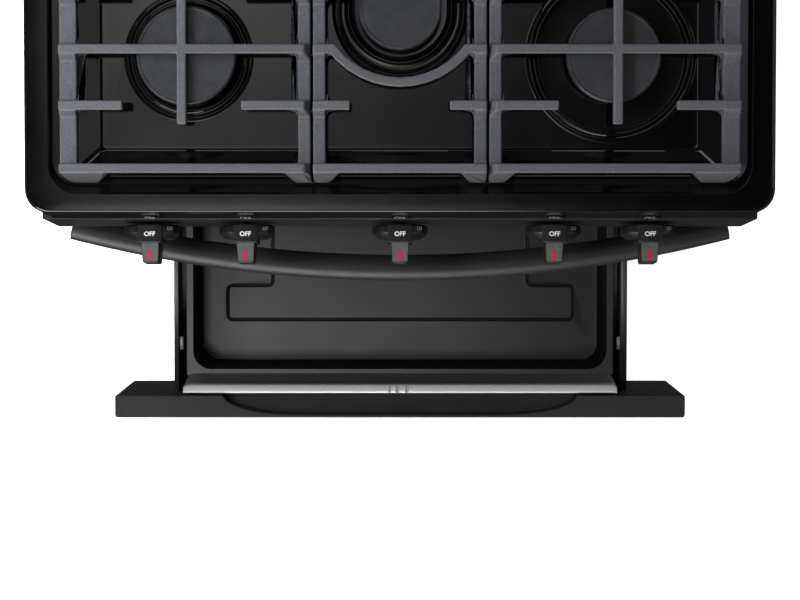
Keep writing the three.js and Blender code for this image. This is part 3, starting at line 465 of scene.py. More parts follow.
# ---- CAD nodes that stay as they are
knobSpots = ("left_front", "left_rear", "centre", "right_rear", "right_front")
dressed = {
    # finish and slot: each node, and its rounded edge in millimetres
    ("powderCoat", "paint"): {"side_panel_left": 0.5, "side_panel_right": 0.5, "door_outer_panel": 0.6,
                              "backguard": 0.6},
    ("galvanisedSheet", "galvanized"): {
        "rear_cover": 0.4, "base_frame": 0.5, "bake_burner": 0, "broil_burner": 1,
        "door_hinge_left": 0.5, "door_hinge_right": 0.5, "drawer_rail_left": 0.5,
        "drawer_rail_right": 0.5, "gas_manifold": 0},
    ("firedEnamel", "enamel"): {"oven_front_frame": 0.5, "door_inner_panel": 0.6},
    ("satinEnamel", "enamel"): {"control_panel": 0.25},
    ("speckledEnamel", "oven_liner"): {"oven_cavity": 0.5, "oven_floor": 0.5},
    ("mouldedRubber", "rubber"): {
        "door_gasket": 0.8, "leveling_leg_front_left": 0, "leveling_leg_front_right": 0,
        "leveling_leg_rear_left": 0, "leveling_leg_rear_right": 0},
    ("tintedGlass", "glass"): {"oven_lamp": 1, "door_inner_glass": 0.4},
    ("temperedGlass", "glass"): {"door_window_glass": 0.4, "display_glass": 0.4},
    ("turnedBrass", "brass"): {"gas_regulator": 0.6},
    ("blackenedBrass", "brass"): {"valve_stem_" + spot: 0.4 for spot in knobSpots},
    ("dieCastAlloy", "burner_alloy"): {"burner_head_centre": 0.8},
    ("castIron", "cast_iron"): {"grate_left": 1.8, "grate_centre": 1.8, "grate_right": 1.8},
}
for (finish, slot), edges in dressed.items():
    for name, edge in edges.items():
        dressNode(name, finish, edge, segments=3 if name.startswith("grate") else 2)
print("CAD nodes dressed:", sum(len(edges) for edges in dressed.values()))


# ---- cooktop: one pressed and enamelled sheet with a raised ring round each burner
cooktop = {
    "sheet": 1.4, "frontBulge": 6, "bullnose": 7.5, "wallFoot": 5, "ledgeEdge": 1.2, "rimFall": 0.03,
    # the well: half width, front, rear, corner radius and depth
    "well": (303, 79, 533), "wellCorner": 8, "wellDeep": 26,
    # ring profiles: distance out from the cap's edge, height over the well's floor
    "roundRings": [(16, 0), (13.6, 0.1), (12.6, 0.9), (11.4, 1.0), (10.4, 0.2), (9.4, -0.5), (7.6, -0.5),
                   (6.8, 0.2), (5.8, 0.9), (4.6, 0.6), (3.2, -0.3), (0, -0.3), (-4, -0.2)],
    "wideRings": [(40, 0), (37.5, 0.1), (36.2, 1.0), (34.8, 1.1), (33.6, 0.3), (32.6, -0.2), (31.4, 0.6),
                  (30, 0.7), (28.8, 0), (27.6, -1.1), (26.2, -1.5), (4, -1.5), (0, -1.5), (-4, -1.5)],
    "longRings": [(28, 0), (25.4, 0.1), (24.2, 1.0), (22.6, 1.1), (21.2, 0.1), (18, -0.4), (13, -0.4),
                  (11.6, 0.7), (10, 0.8), (8.6, -0.1), (4, -0.4), (-4, -0.4)],
}
burners = {
    "left_front": (-214, 172.5, 50, 0, "roundRings"), "left_rear": (-214, 439.5, 38, 0, "roundRings"),
    "right_front": (214, 172.5, 47.7, 0, "wideRings"), "right_rear": (214, 439.5, 40, 0, "roundRings"),
    "centre": (0, 306, 41.5, 87, "longRings"),
}
mixerHole = 21


def makeCooktop():
    low, high = span("cooktop")
    half, rim, front, rear = high.x, high.z, low.y + cooktop["frontBulge"], high.y
    wellHalf, wellFront, wellRear = cooktop["well"]
    floorZ = rim - cooktop["wellDeep"]
    keys = [  # half width, front, rear, corner radius, height, rounding
        (half - 12.5, front - 6, rear, 16, low.z, 0),
        (half, front, rear, 24, rim - 10.5, 4),
        (half - 0.2, front + 0.2, rear, 24, rim - cooktop["rimFall"], cooktop["bullnose"]),
        (half - 24.5, front + 19, rear - 21, 30, rim, 1.2),
        (half - 26, front + 21, rear - 22.5, 28, rim - 2.6, 1.0),
        (wellHalf + 48, wellFront - 36, wellRear + 36, 25, rim - 9, cooktop["ledgeEdge"]),
        (wellHalf + 28, wellFront - 27, wellRear + 27, cooktop["wellCorner"], rim - 10.4, 3),
        (wellHalf + 1, wellFront - 1, wellRear + 1, 6, floorZ, cooktop["wallFoot"]),
        (wellHalf - 7, wellFront + 7, wellRear - 7, 5, floorZ, 0),
    ]
    rings = [roundedBox(*key, steps=9) for key in softened(keys)]
    points, faces = skin(rings)
    loops = [[Vector(p) for p in rings[-1]]]
    index = list(range(len(points) - len(rings[-1]), len(points)))
    for x, y, cap, reach, style in burners.values():
        hole = [stadium(x, y, cap + out, reach, floorZ + up) for out, up in cooktop[style]]
        hole += [stadium(x, y, mixerHole + out, 0, floorZ - 0.3) for out in (3, 0)]
        faces += stitch(hole, start=len(points))
        loops.append([Vector(p) for p in hole[0]])
        index += range(len(points), len(points) + len(hole[0]))
        points += [p for ring in hole for p in ring]
    faces += [tuple(index[i] for i in tri) for tri in tessellate_polygon(loops)]
    thing = piece("enamelled_cooktop", (points, faces), "firedEnamel", "range_body",
                  ["cooktop"], sharp=50)
    thicken(thing, cooktop["sheet"])
    levelFlats(thing)


makeCooktop()
print("cooktop pressed")

# ---- burners: port slots round each head, a cap with a thin bead, and an igniter beside it
burner = {"stub": 20, "stubFoot": 872, "seat": 888.4, "headTop": 911, "capTop": 924.4, "capGap": 0.4,
          "portDepth": 1.6, "ports": 32, "ringPoints": 192, "portZ": (903.3, 909.3),
          "igniter": 2.6, "igniterFoot": 888.2, "igniterAside": 7, "igniterBehind": 4.2}


def portedHead(x, y, cap):
    # a stub through the sheet, a flared skirt, and ports cut in its upper band
    r, count = cap - 5, burner["ringPoints"]
    slotPoints = count // (2 * burner["ports"])
    low = [(burner["stub"], burner["stubFoot"]), (burner["stub"], burner["seat"]),
           (cap - 9, burner["seat"]), (cap - 8.2, 889.6), (r - 1, 901), (r, 902), (r, 903.2)]
    high = [(r, 909.4), (r, 910.4), (r - 0.8, burner["headTop"]), (r - 10, burner["headTop"])]
    rings = [stadium(x, y, a, 0, z, count) for a, z in low]
    for z in burner["portZ"]:
        ring = []
        for i, (px, py, _) in enumerate(stadium(x, y, r, 0, z, count)):
            k = 1 - (burner["portDepth"] / r if (i // slotPoints) % 2 else 0)
            ring.append((x + (px - x) * k, y + (py - y) * k, z))
        rings.append(ring)
    rings += [stadium(x, y, a, 0, z, count) for a, z in high]
    return solid(rings)


def makeBurners():
    sparkers = []
    for name, (x, y, cap, reach, _) in burners.items():
        if name != "centre":
            piece("ported_head_" + name, portedHead(x, y, cap), "dieCastAlloy", "range_body",
                  ["burner_head_" + name], sharp=25)
        z0, z1 = burner["headTop"] + burner["capGap"], burner["capTop"]
        profile = softened([(cap - 16, z0, 0), (cap - 2, z0, 1.5), (cap, z0 + 2.6, 2),
                            (cap, z1 - 1.8, 1.6), (cap - 1.9, z1, 0.9), (cap - 3.0, z1, 0.6),
                            (cap - 3.8, z1 - 0.5, 0.5), (cap - 8, z1 - 0.5, 0)], 4)
        disc = solid([stadium(x, y, a, reach, z, 128) for a, z in profile])
        thing = piece("enamelled_cap_" + name, disc, "mattEnamel", "range_body",
                      ["burner_cap_" + name], sharp=40)
        levelFlats(thing)
        # a ceramic post with a thin tip, behind the head and under the grate's spoke
        ix = x + (x > 0) * burner["igniterAside"] - (x < 0) * burner["igniterAside"]
        iy = y + reach + cap + burner["igniterBehind"]
        sparkers.append(solid([stadium(ix, iy, burner["igniter"] * q, 0, burner["igniterFoot"] + z, 20)
                               for q, z in ((1, 0), (1, 8.8), (0.8, 9.8), (0.5, 10.2), (0.5, 14.8),
                                            (0.2, 16))]))
    piece("spark_igniters", joined(*sparkers), "glazedCeramic", "range_body")


makeBurners()
print("burners made:", len(burners))

# ---- handle: a bowed oval bar, its ends flat on the door over two short posts
handle = {"halfWide": 14, "halfTall": 12.5, "bow": 44.5, "reach": 47.9, "height": 732, "steps": 64,
          "endGap": 3.4, "faceGap": 0.4, "postInset": 14, "postHalf": 11, "postDeep": 10,
          "postRound": 3.5, "postTall": 10.5}


def makeHandle():
    high = span("door_handle")[1]
    ends, face, height = high.x - handle["endGap"], -handle["faceGap"], handle["height"]
    radius = (ends ** 2 + handle["bow"] ** 2) / (2 * handle["bow"])
    widest = math.asin(ends / radius)
    turns = [widest * (2 * i / handle["steps"] - 1) for i in range(handle["steps"] + 1)]
    path = [(radius * math.sin(a), -handle["reach"] + radius * (1 - math.cos(a)), height) for a in turns]
    oval = [(handle["halfWide"] * a, handle["halfTall"] * b) for a, b in circle(1, 32)]
    points, faces = sweep(path, oval)
    parts = [([(x, min(y, face), z) for x, y, z in points], faces)]
    for s in (-1, 1):
        post = roundedBox(handle["postHalf"], -handle["postDeep"], face, handle["postRound"], 0, 5,
                          s * (ends - handle["postInset"]))
        parts.append(solid([[(x, y, height + h) for x, y, _ in post]
                            for h in (-handle["postTall"], handle["postTall"])]))
    thing = piece("bow_handle", joined(*parts), "powderCoat", "door", ["door_handle"], 40)
    softenEdges(thing, 1.2, 3, 50)


makeHandle()
print("handle swept")

# ---- drawer: front with its finger scoop, the drawn pan, brace and runners
drawerFront = {"cornerFront": 3.6, "cornerRear": 2.0, "edge": 1.3, "scoopHalf": 227, "scoopFlat": 138,
               "scoopDeep": 31, "scoopSkin": 4.2, "overcut": 3,
               # how the scoop's curve leaves the rear edge, and how it reaches the flat: across, back
               "scoopLeave": (5, 11), "scoopReach": (52, 2),
               "endSeam": 8, "seamWide": 0.5, "seamInset": 1.2}


def bezier(a, b, c, d, steps):
    a, b, c, d = Vector(a), Vector(b), Vector(c), Vector(d)
    return [tuple(a * (1 - t) ** 3 + b * 3 * t * (1 - t) ** 2 + c * 3 * t * t * (1 - t) + d * t ** 3)
            for t in (i / steps for i in range(1, steps + 1))]


def upright(outline, *heights):
    return solid([[(x, y, z) for x, y in outline] for z in heights])


def makeDrawerFront():
    low, high = span("drawer_front")
    # plan outline with rounder front corners than rear ones
    rear, front = drawerFront["cornerRear"], drawerFront["cornerFront"]
    outline = [p for cx, cy, r, start in
               ((high.x - rear, high.y - rear, rear, 0), (rear - high.x, high.y - rear, rear, 90),
                (front - high.x, low.y + front, front, 180), (high.x - front, low.y + front, front, 270))
               for p in arc(cx, cy, r, start, 5)]
    block = piece("drawer_face", upright(outline, low.z, high.z), "powderCoat", "drawer",
                  ["drawer_front"])
    # the scoop's plan, open at the rear
    half, flat, y0 = drawerFront["scoopHalf"], drawerFront["scoopFlat"], low.y + drawerFront["scoopSkin"]
    leave, reach = drawerFront["scoopLeave"], drawerFront["scoopReach"]
    left = [(-half, high.y + drawerFront["overcut"]), (-half, high.y)]
    left += bezier((-half, high.y), (leave[0] - half, y0 + leave[1]), (-flat - reach[0], y0 + reach[1]),
                   (-flat, y0), 24)
    plan = left + [(-x, y) for x, y in reversed(left)]
    cut = upright(plan, high.z - drawerFront["scoopDeep"], high.z + drawerFront["overcut"])
    cutter = piece("scoop_cutter", cut, "powderCoat", "drawer")
    hollow = block.modifiers.new("scoop", "BOOLEAN")
    hollow.operation = "DIFFERENCE"
    hollow.solver = "EXACT"
    hollow.object = cutter
    shaped = baked(block)
    block.modifiers.clear()
    block.data = shaped
    bpy.data.objects.remove(cutter)
    shaped.shade_smooth()
    shaped.set_sharp_from_angle(angle=math.radians(30))
    softenEdges(block, drawerFront["edge"], 3, 30)
    # the folded ends are separate caps: a fine seam shows where each meets the face
    seams = []
    for s in (-1, 1):
        x = s * (high.x - drawerFront["endSeam"])
        x0, x1 = sorted((x, x + s * drawerFront["seamWide"]))
        seams.append(blockOf(x0, x1, low.y + drawerFront["seamInset"], high.y - drawerFront["seamInset"],
                             high.z - 0.3, high.z + 0.02, 0.1))
    piece("drawer_face_seams", joined(*seams), "mouldedRubber", "drawer")


makeDrawerFront()

drawerPan = {"sheet": 1.4, "flange": 9, "floorRise": 1.5, "bead": 1.5, "beadDeep": 1.6,
             # the pressed outline in the floor: wide behind the front wall, narrower further back
             "wide": 233, "narrow": 172, "front": -145.4, "step": -98.9, "back": 180, "corner": 8,
             "steep": 0.6}  # faces whose normal rises less than this are walls


def roundedLoop(corners, radius, z, steps=6):
    # a closed loop through corners, each one rounded
    loop = []
    for i, corner in enumerate(corners):
        here = Vector(corner)
        toBefore = (Vector(corners[i - 1]) - here).normalized() * radius
        toAfter = (Vector(corners[(i + 1) % len(corners)]) - here).normalized() * radius
        loop += [(q.x, q.y, z) for q in bend(here + toBefore, here, here + toAfter, steps)]
    return loop


def grown(loop, distance, z):
    # a closed anticlockwise loop moved outwards
    out = []
    for i, p in enumerate(loop):
        before, after = Vector(loop[i - 1]), Vector(loop[(i + 1) % len(loop)])
        one = (Vector(p) - before).normalized()
        two = (after - Vector(p)).normalized()
        n = Vector((one.y + two.y, -one.x - two.x, 0))
        n = n / max(0.2, 1 + one.dot(two))
        out.append((p[0] + n.x * distance, p[1] + n.y * distance, z))
    return out


def makeDrawerPan():
    low, high = span("drawer_pan")
    flange = drawerPan["flange"]
    half, y0, y1 = high.x - flange, low.y + flange, high.y - flange
    floorZ, rim = low.z + drawerPan["floorRise"], high.z
    keys = [  # grown by, corner radius, height, rounding
        (flange, 1.6, rim - 9.8, 0), (flange, 1.6, rim, 1.5), (0, 24, rim, 1.8),
        (-0.8, 24, floorZ + 8, 3), (-1.6, 23.5, floorZ, 3.2), (-12, 16, floorZ, 0)]
    rings = [roundedBox(half + g, y0 - g, y1 + g, r, z, 8) for g, r, z in softened(keys, 5)]
    w, n = drawerPan["wide"], drawerPan["narrow"]
    front, step, back = drawerPan["front"], drawerPan["step"], drawerPan["back"]
    path = roundedLoop([(-w, front), (w, front), (w, step), (n, step), (n, back), (-n, back),
                        (-n, step), (-w, step)], drawerPan["corner"], floorZ)
    wide, deep = drawerPan["bead"], drawerPan["beadDeep"]
    profile = [(wide * 1.9, 0), (wide * 1.25, 0.25), (wide * 0.75, -deep * 0.5), (0, -deep),
               (-wide * 0.75, -deep * 0.5), (-wide * 1.25, 0.25), (-wide * 1.9, 0)]
    bead = [grown(path, d, floorZ + h) for d, h in profile]
    points, faces = skin(rings)
    outerStart, beadStart = len(points) - len(rings[-1]), len(points)
    points += [p for ring in bead for p in ring]
    faces += stitch(bead, start=beadStart)
    # the floor outside the bead, then the floor inside it
    for start, loops in ((outerStart, (rings[-1], bead[0])), (len(points) - len(path), (bead[-1],))):
        faces += [tuple(start + i for i in tri) for tri in
                  tessellate_polygon([[Vector(p) for p in loop] for loop in loops])]
    thing = piece("drawn_pan", (points, faces), ["stovedPaint", "panWallPaintedShade"], "drawer",
                  ["drawer_pan"], 50)
    # walls take the darker copy of the paint: painted shade
    for face in thing.data.polygons:
        face.material_index = 1 if abs(face.normal.z) < drawerPan["steep"] else 0
    thicken(thing, drawerPan["sheet"])
    levelFlats(thing)


makeDrawerPan()

drawerBrace = {"sheet": 1.5, "endRound": 10, "footZ": 205.6, "bossHalf": 17, "bossWave": 1.3,
               # the boss across: where each ridge stands and how wide it spreads, and the dip between
               "ridge": (6, 2.6), "lip": (14.7, 1.3), "lipShare": 0.8, "dip": 0.6}


def makeBrace():
    low, high = span("drawer_brace")
    top, rear = high.z, low.y
    # section from the foot behind the face, over the rolled top, down to the pan
    line = softened([(rear, low.z, 0), (rear, top - 1, 2.6), (rear + 2.4, top, 2.2),
                     (rear + 12, top, 2.4), (rear + 14.5, top - 5, 3),
                     (high.y, drawerBrace["footZ"], 0)], 5)
    xs = [-high.x + drawerBrace["endRound"] * (1 - math.cos(math.radians(a)))
          for a in range(0, 91, 9)]
    boss = drawerBrace["bossHalf"]
    xs += [-boss - 4 + i * 0.75 for i in range(int((boss + 4) / 0.75) + 1)]
    xs = sorted(set(round(x, 3) for x in xs))
    xs = xs + [-x for x in reversed(xs) if x < -0.01]

    def swell(x, name):
        middle, spread = drawerBrace[name]
        return math.exp(-((abs(x) - middle) / spread) ** 2)

    rows = []
    for x in xs:
        reach = min(1.0, (high.x - abs(x)) / drawerBrace["endRound"])
        pull = math.sqrt(max(0.0, 1 - (1 - reach) ** 2))  # rear corners rounded in plan
        wave = drawerBrace["bossWave"] * min(1, (boss - abs(x)) / 2) * (
            swell(x, "ridge") - drawerBrace["dip"] + drawerBrace["lipShare"] * swell(x, "lip"))
        rows.append([(x, rear + (y - rear) * (0.5 + 0.5 * pull),
                      z + (wave if abs(x) < boss and z > top - 3 else 0)) for y, z in line])
    thing = piece("rolled_brace", skin(rows, closed=False), "rolledStainless", "drawer",
                  ["drawer_brace"], 60)
    thicken(thing, drawerBrace["sheet"])


makeBrace()

runner = {"flange": 6, "channel": 40, "sheet": 1.4, "clipWide": 4.6, "clipLong": 17, "clipY": -177,
          "clipDrop": 16, "clipAside": 1.2, "troughLean": 0.6}


def makeRunners():
    for side, s in (("left", -1), ("right", 1)):
        low, high = span("drawer_runner_" + side)
        outer, inner = (low.x, high.x) if s < 0 else (high.x, low.x)
        rim, foot, trough = high.z, low.z, high.z - runner["channel"]
        # an open channel: a turned flange outside, a dark trough, and a lip against the pan
        line = softened([(outer, foot, 0), (outer, rim, 1.2), (outer - s * runner["flange"], rim, 1.2),
                         (outer - s * (runner["flange"] + runner["troughLean"]), trough, 1.5),
                         (inner, trough, 1.5), (inner, foot, 0)], 4)
        rows = [[(x, y, z) for x, z in line] for y in (low.y, high.y)]
        thing = piece("channel_runner_" + side, skin(rows, closed=False), "powderCoat", "drawer",
                      ["drawer_runner_" + side], 40)
        thicken(thing, runner["sheet"], s)
        # a bright spring clip in the trough, with a screw at each end
        x, half = (outer + inner) / 2 - s * runner["clipAside"], runner["clipWide"] / 2
        y0, zc = runner["clipY"], rim - runner["clipDrop"]
        clip = [blockOf(x - half, x + half, y0, y0 + runner["clipLong"], zc + 9, zc + 11, 1.2),
                blockOf(x - 1.4, x + 1.4, y0 + 3, y0 + 14, zc, zc + 9.2, 0.8)]
        for yy in (y0 + 3.4, y0 + 13.6):
            clip.append(solid([stadium(x, yy, r, 0, z, 20) for r, z in
                               ((1.7, zc + 11), (1.7, zc + 12), (1.1, zc + 12.6), (0.4, zc + 12.7))]))
        piece("runner_clip_" + side, joined(*clip), "rolledStainless", "drawer")


makeRunners()
print("drawer made")

# ---- knobs: a faceted skirt, a hub and a tapering grip, with their printed marks
panelLean = (10.7, 121)  # the control panel's face leans back by the first over the second
knob = {"radius": 29, "standOff": 3, "skirt": 17.2, "hubHalf": 12.6, "hubNose": 21.8, "gripRoot": 9.4,
        "gripTip": 8.3, "nose": 42.6, "gripTop": 25.2, "gripTipTop": 19.5, "bore": 4.4, "rise": 59}
knobXs = dict(zip(knobSpots, (-259, -160, 0, 160, 259)))
leanTurn = Matrix.Rotation(-math.atan2(*panelLean), 4, "X")


def textMesh(words, size, thick):
    curve = bpy.data.curves.new(words, "FONT")
    curve.body = words
    curve.size = size
    curve.extrude = thick
    curve.offset = 0.018 * size
    curve.align_x = curve.align_y = "CENTER"
    curve.resolution_u = 4
    thing = addObject(words, curve)
    bpy.context.view_layer.update()
    mesh = baked(thing)
    bpy.data.objects.remove(thing)
    return mesh


def panelFace(rise):
    # the depth and height of the control panel's face, a given way up it
    panelLow = span("control_panel")[0]
    return panelLow.y + panelLean[0] * rise / panelLean[1], panelLow.z + rise


def knobPlace(spot):
    # the knob's own frame: -Y leaves the panel, +Z runs up it
    return Matrix.Translation(at(knobXs[spot], *panelFace(knob["rise"]))) @ \
        leanTurn @ Matrix.Scale(0.001, 4)


def turned(profile, count=120):
    # a profile of (radius, y) turned about the local Y axis
    return skin([[(a, y, b) for a, b in circle(r, count)] for r, y in profile])


def slab(sections, radius=1.6):
    # a solid through rounded rectangles given as (y, half width, bottom z, top z)
    return solid([[(x, y, z) for x, z, _ in roundedBox(half, z0, z1, radius, 0, 3)]
                  for y, half, z0, z1 in sections])


def makeKnobs():
    offMesh, lowMesh = textMesh("OFF", 6.6, 0.06), textMesh("LO", 5.4, 0.06)
    rad, so, sk, half = knob["radius"], -knob["standOff"], -knob["skirt"], knob["hubHalf"]
    nose, face = -knob["nose"], -knob["hubNose"]
    root, tip, top, tipTop = knob["gripRoot"], knob["gripTip"], knob["gripTop"], knob["gripTipTop"]
    skirt = turned(softened([(knob["bore"], so, 0), (rad - 1.2, so, 0.8), (rad, so - 1.5, 0.8),
                             (rad, so - 8.6, 1.2), (rad - 6.5, sk, 1.2), (10, sk, 0)], 4))
    bore = turned([(10, sk), (knob["bore"], sk + 2.5), (knob["bore"], so)])
    hub = slab([(-4, half, 5, rad + 0.6), (face + 0.5, half, -rad + 4, rad + 0.6),
                (face - 0.1, half - 0.5, -rad + 5.2, rad)])
    grip = slab([(-16, root, -rad + 6, top), (face, root, -rad + 6, top),
                 (nose + 1.4, tip, -rad + 8, tipTop + 0.6), (nose, tip - 1.0, -rad + 10, tipTop - 0.9)])
    fall = (top - tipTop - 0.6) / (face - nose - 1.4)

    def plate(y0, y1, h0, h1, lift, thick):
        # a thin tapering plate let into the grip's falling top
        corners = ((-h0, y0), (h0, y0), (h1, y1), (-h1, y1))
        quad = [(x, y, top - fall * max(0, face - y)) for x, y in corners]
        return solid([[(x, y, z + lift - thick) for x, y, z in quad],
                      [(x * 0.97, y, z + lift) for x, y, z in quad]])

    # a lighter plate over the grip's top: a painted highlight
    highlightPlate = plate(face - 0.4, nose + 1.8, root - 0.5, tip - 0.5, 0.25, 0.8)
    mark = plate(nose + 12.0, nose + 2.8, 1.9, 2.3, 0.4, 0.5)
    # printed words: on top of the hub, and low on the skirt's right shoulder
    offSpot = Matrix.Translation((0, -13.4, rad + 0.62))
    lowSpot = Matrix.Rotation(math.radians(44), 4, "Y") @ Matrix.Translation((0, -7.2, rad + 0.1))
    for spot in knobSpots:
        where, body = knobPlace(spot), "knob_" + spot
        piece("moulded_knob_" + spot, joined(skirt, bore, hub, grip), "mouldedPhenolic", body,
              ["knob_" + spot], 28, where)
        piece("grip_painted_highlight_" + spot, highlightPlate, "lacqueredGrip", body, sharp=20, where=where)
        piece("pointer_mark_" + spot, mark, "redInk", body, sharp=20, where=where)
        for name, drawn, turn, finish in (("off_print_", offMesh, offSpot, "whiteInk"),
                                          ("low_print_", lowMesh, lowSpot, "greyInk")):
            word = drawn.copy()
            word.transform(where @ turn)
            place(name + spot, word, finish, body, sharp=20)


makeKnobs()
print("knobs moulded:", len(knobSpots))

# ---- printed marks along the top of the control panel
panelPrint = {"offset": -37, "rise": 114, "dot": 1.3, "gap": 4.2, "count": 3}


def makePanelPrint():
    y, z = panelFace(panelPrint["rise"])
    reds, greys = [], []
    for spot in knobSpots:
        for i in range(panelPrint["count"] + 1):
            r = panelPrint["dot"] if i == 0 else panelPrint["dot"] * 0.55
            x = knobXs[spot] + panelPrint["offset"] + i * panelPrint["gap"]
            (reds if i == 0 else greys).append(solid([
                [(x + a, y - 0.05 - up, z + b) for a, b in circle(q, 15)]
                for q, up in ((r, -0.3), (r, 0.08), (r * 0.8, 0.12))]))
    piece("panel_burner_dots", joined(*reds), "redInk", "range_body")
    piece("panel_scale_dots", joined(*greys), "greyInk", "range_body")


makePanelPrint()

# ---- oven racks in round wire
rackWire = {"frame": 2.5, "bar": 1.75, "bars": 15, "corner": 14, "offset": 0.6}


def makeRack(name):
    low, high = span(name)
    r, middle = rackWire["frame"], (low.y + high.y) / 2
    x0, x1, y0, y1, z = low.x + r, high.x - r, low.y + r, high.y - r, low.z + r
    loop = [Vector(p) for p in
            roundedLoop([(x1, y0), (x1, y1), (x0, y1), (x0, y0)], rackWire["corner"], z, 6)]
    rings = []
    for i, p in enumerate(loop):
        side = (loop[(i + 1) % len(loop)] - loop[i - 1]).normalized().cross(Vector((0, 0, 1)))
        rings.append([tuple(p + side * a + Vector((0, 0, b))) for a, b in circle(r, 12)])
    parts = [skin(rings + rings[:1])]
    wire = circle(rackWire["bar"], 10)
    step = (x1 - x0) / (rackWire["bars"] + 1)
    for i in range(1, rackWire["bars"] + 1):
        x = x0 + i * step
        parts.append(sweep([(x, y, z + rackWire["offset"]) for y in (y0, y0 + 6, y1 - 6, y1)], wire))
    parts.append(sweep([(x, middle, z - rackWire["offset"]) for x in (x0, x1)], wire))
    piece("wire_" + name, joined(*parts), "chromedWire", "range_body", [name], 50)


for rack in ("lower_rack", "upper_rack"):
    makeRack(rack)

# ---- display: lit clock and a few printed keys
display = {"clock": "12:00", "clockSize": 34, "clockRise": 6, "glassDeep": 5.4, "keys": 5,
           "keyRadius": 6.5, "keyLine": 0.9, "keyFrom": 72, "keyPitch": 26, "keyRows": (16, -18)}


def makeDisplay():
    low, high = span("display_glass")
    back = high.y - low.y - display["glassDeep"]
    slope = math.atan2(back, high.z - low.z)
    where = Matrix.Translation(at(0, low.y + back / 2, (low.z + high.z) / 2)) @ \
        Matrix.Rotation(math.radians(90) - slope, 4, "X") @ Matrix.Scale(0.001, 4)
    clock = textMesh(display["clock"], display["clockSize"], 0.15)
    clock.transform(where @ Matrix.Translation((0, display["clockRise"], 0)))
    place("clock_digits", clock, "litDigits", "range_body", sharp=20)
    keys, r = [], display["keyRadius"]
    inner = r - display["keyLine"]
    for s in (-1, 1):
        for i in range(display["keys"]):
            x = s * (display["keyFrom"] + i * display["keyPitch"])
            for y in display["keyRows"]:
                rings = [[(x + a, y + b, h) for a, b in circle(q, 30)]
                         for q, h in ((r, -0.2), (r, 0.12), (inner, 0.12), (inner, -0.2), (r, -0.2))]
                keys.append(skin(rings))
    piece("key_rings", joined(*keys), "greyInk", "range_body", sharp=20, where=where)


makeDisplay()

# ---- screws on the rear cover
screw = {"radius": 4.2, "rise": 2.0, "slot": 0.9, "inset": 12, "columnRises": (40, 260, 480, 700),
         "rowXs": (-180, 0, 180), "rowInset": 14}


def makeScrews():
    low, high = span("rear_cover")
    spots = [(s * (high.x - screw["inset"]), z) for s in (-1, 1)
             for z in (*[low.z + up for up in screw["columnRises"]], high.z - 40)]
    spots += [(x, z) for x in screw["rowXs"]
              for z in (low.z + screw["rowInset"], high.z - screw["rowInset"])]
    rise = screw["rise"]
    profile = ((1, -0.2), (1, 0.7), (0.85, 1.5), (0.5, rise), (0.34, rise), (0.3, rise - screw["slot"]))
    shapes = []
    for x, z in spots:
        turn = dice.uniform(0, math.pi)
        shapes.append(solid([[(x + a, high.y + up, z + b)
                              for a, b in circle(screw["radius"] * q, 18, turn)] for q, up in profile]))
    piece("rear_screws", joined(*shapes), "rolledStainless", "range_body", sharp=30)


makeScrews()
print("small parts made")

# ---- floor, camera and light
studio = {
    "floorSize": 80, "floorHex": "f4f4f4", "floorGlow": 0.88,
    "horizon": 0.85, "dome": 0.06, "below": 0.03,
    # a soft glow overhead: brightness by the direction's sideways lean, times a factor by its lean back
    "glowAcross": [(-0.25, 0.0), (-0.165, 0.06), (-0.147, 0.2), (-0.128, 0.6), (-0.10, 0.72),
                   (-0.05, 0.62), (-0.03, 0.5), (0.0, 0.34), (0.02, 0.28), (0.046, 0.14), (0.083, 0.04),
                   (0.12, 0.012), (0.25, 0.0)],
    "glowAlong": [(-0.25, 0.6), (-0.12, 4.2), (-0.055, 3.7), (-0.03, 0.85), (-0.01, 0.8), (0.015, 1.0),
                  (0.03, 1.15), (0.06, 1.9), (0.12, 2.4), (0.17, 1.0), (0.25, 0.2)],
    "glowReach": 0.25, "glowMost": 8,
    # upward leans between which the glow, the horizon and the dark below give way to each other
    "glowFade": (0.93, 0.98), "horizonFade": (0.34, 0.12), "belowFade": (-0.12, 0.0),
}
lights = {  # place, aim, size x, size y, watts, seen in reflections
    "frontSoftbox": ((-0.9, -2.5, 1.95), (0, -0.2, 0.9), 2.4, 2.0, 78, True),
    "leftSoftbox": ((-0.97, 0.05, 2.15), (-0.97, 0.051, 0), 0.7, 1.3, 58, False),
    "rightStrip": ((2.6, 0.2, 2.9), (0.0, 0.1, 0.9), 1.0, 3.0, 4.5, True),
    "rearStrip": ((-0.4, 1.15, 2.6), (-0.1, 0.2, 0.9), 2.4, 0.22, 4, True),
    "rearFill": ((1.2, 3.2, 2.0), (0, 0.3, 0.6), 1.8, 1.8, 20, False),
}


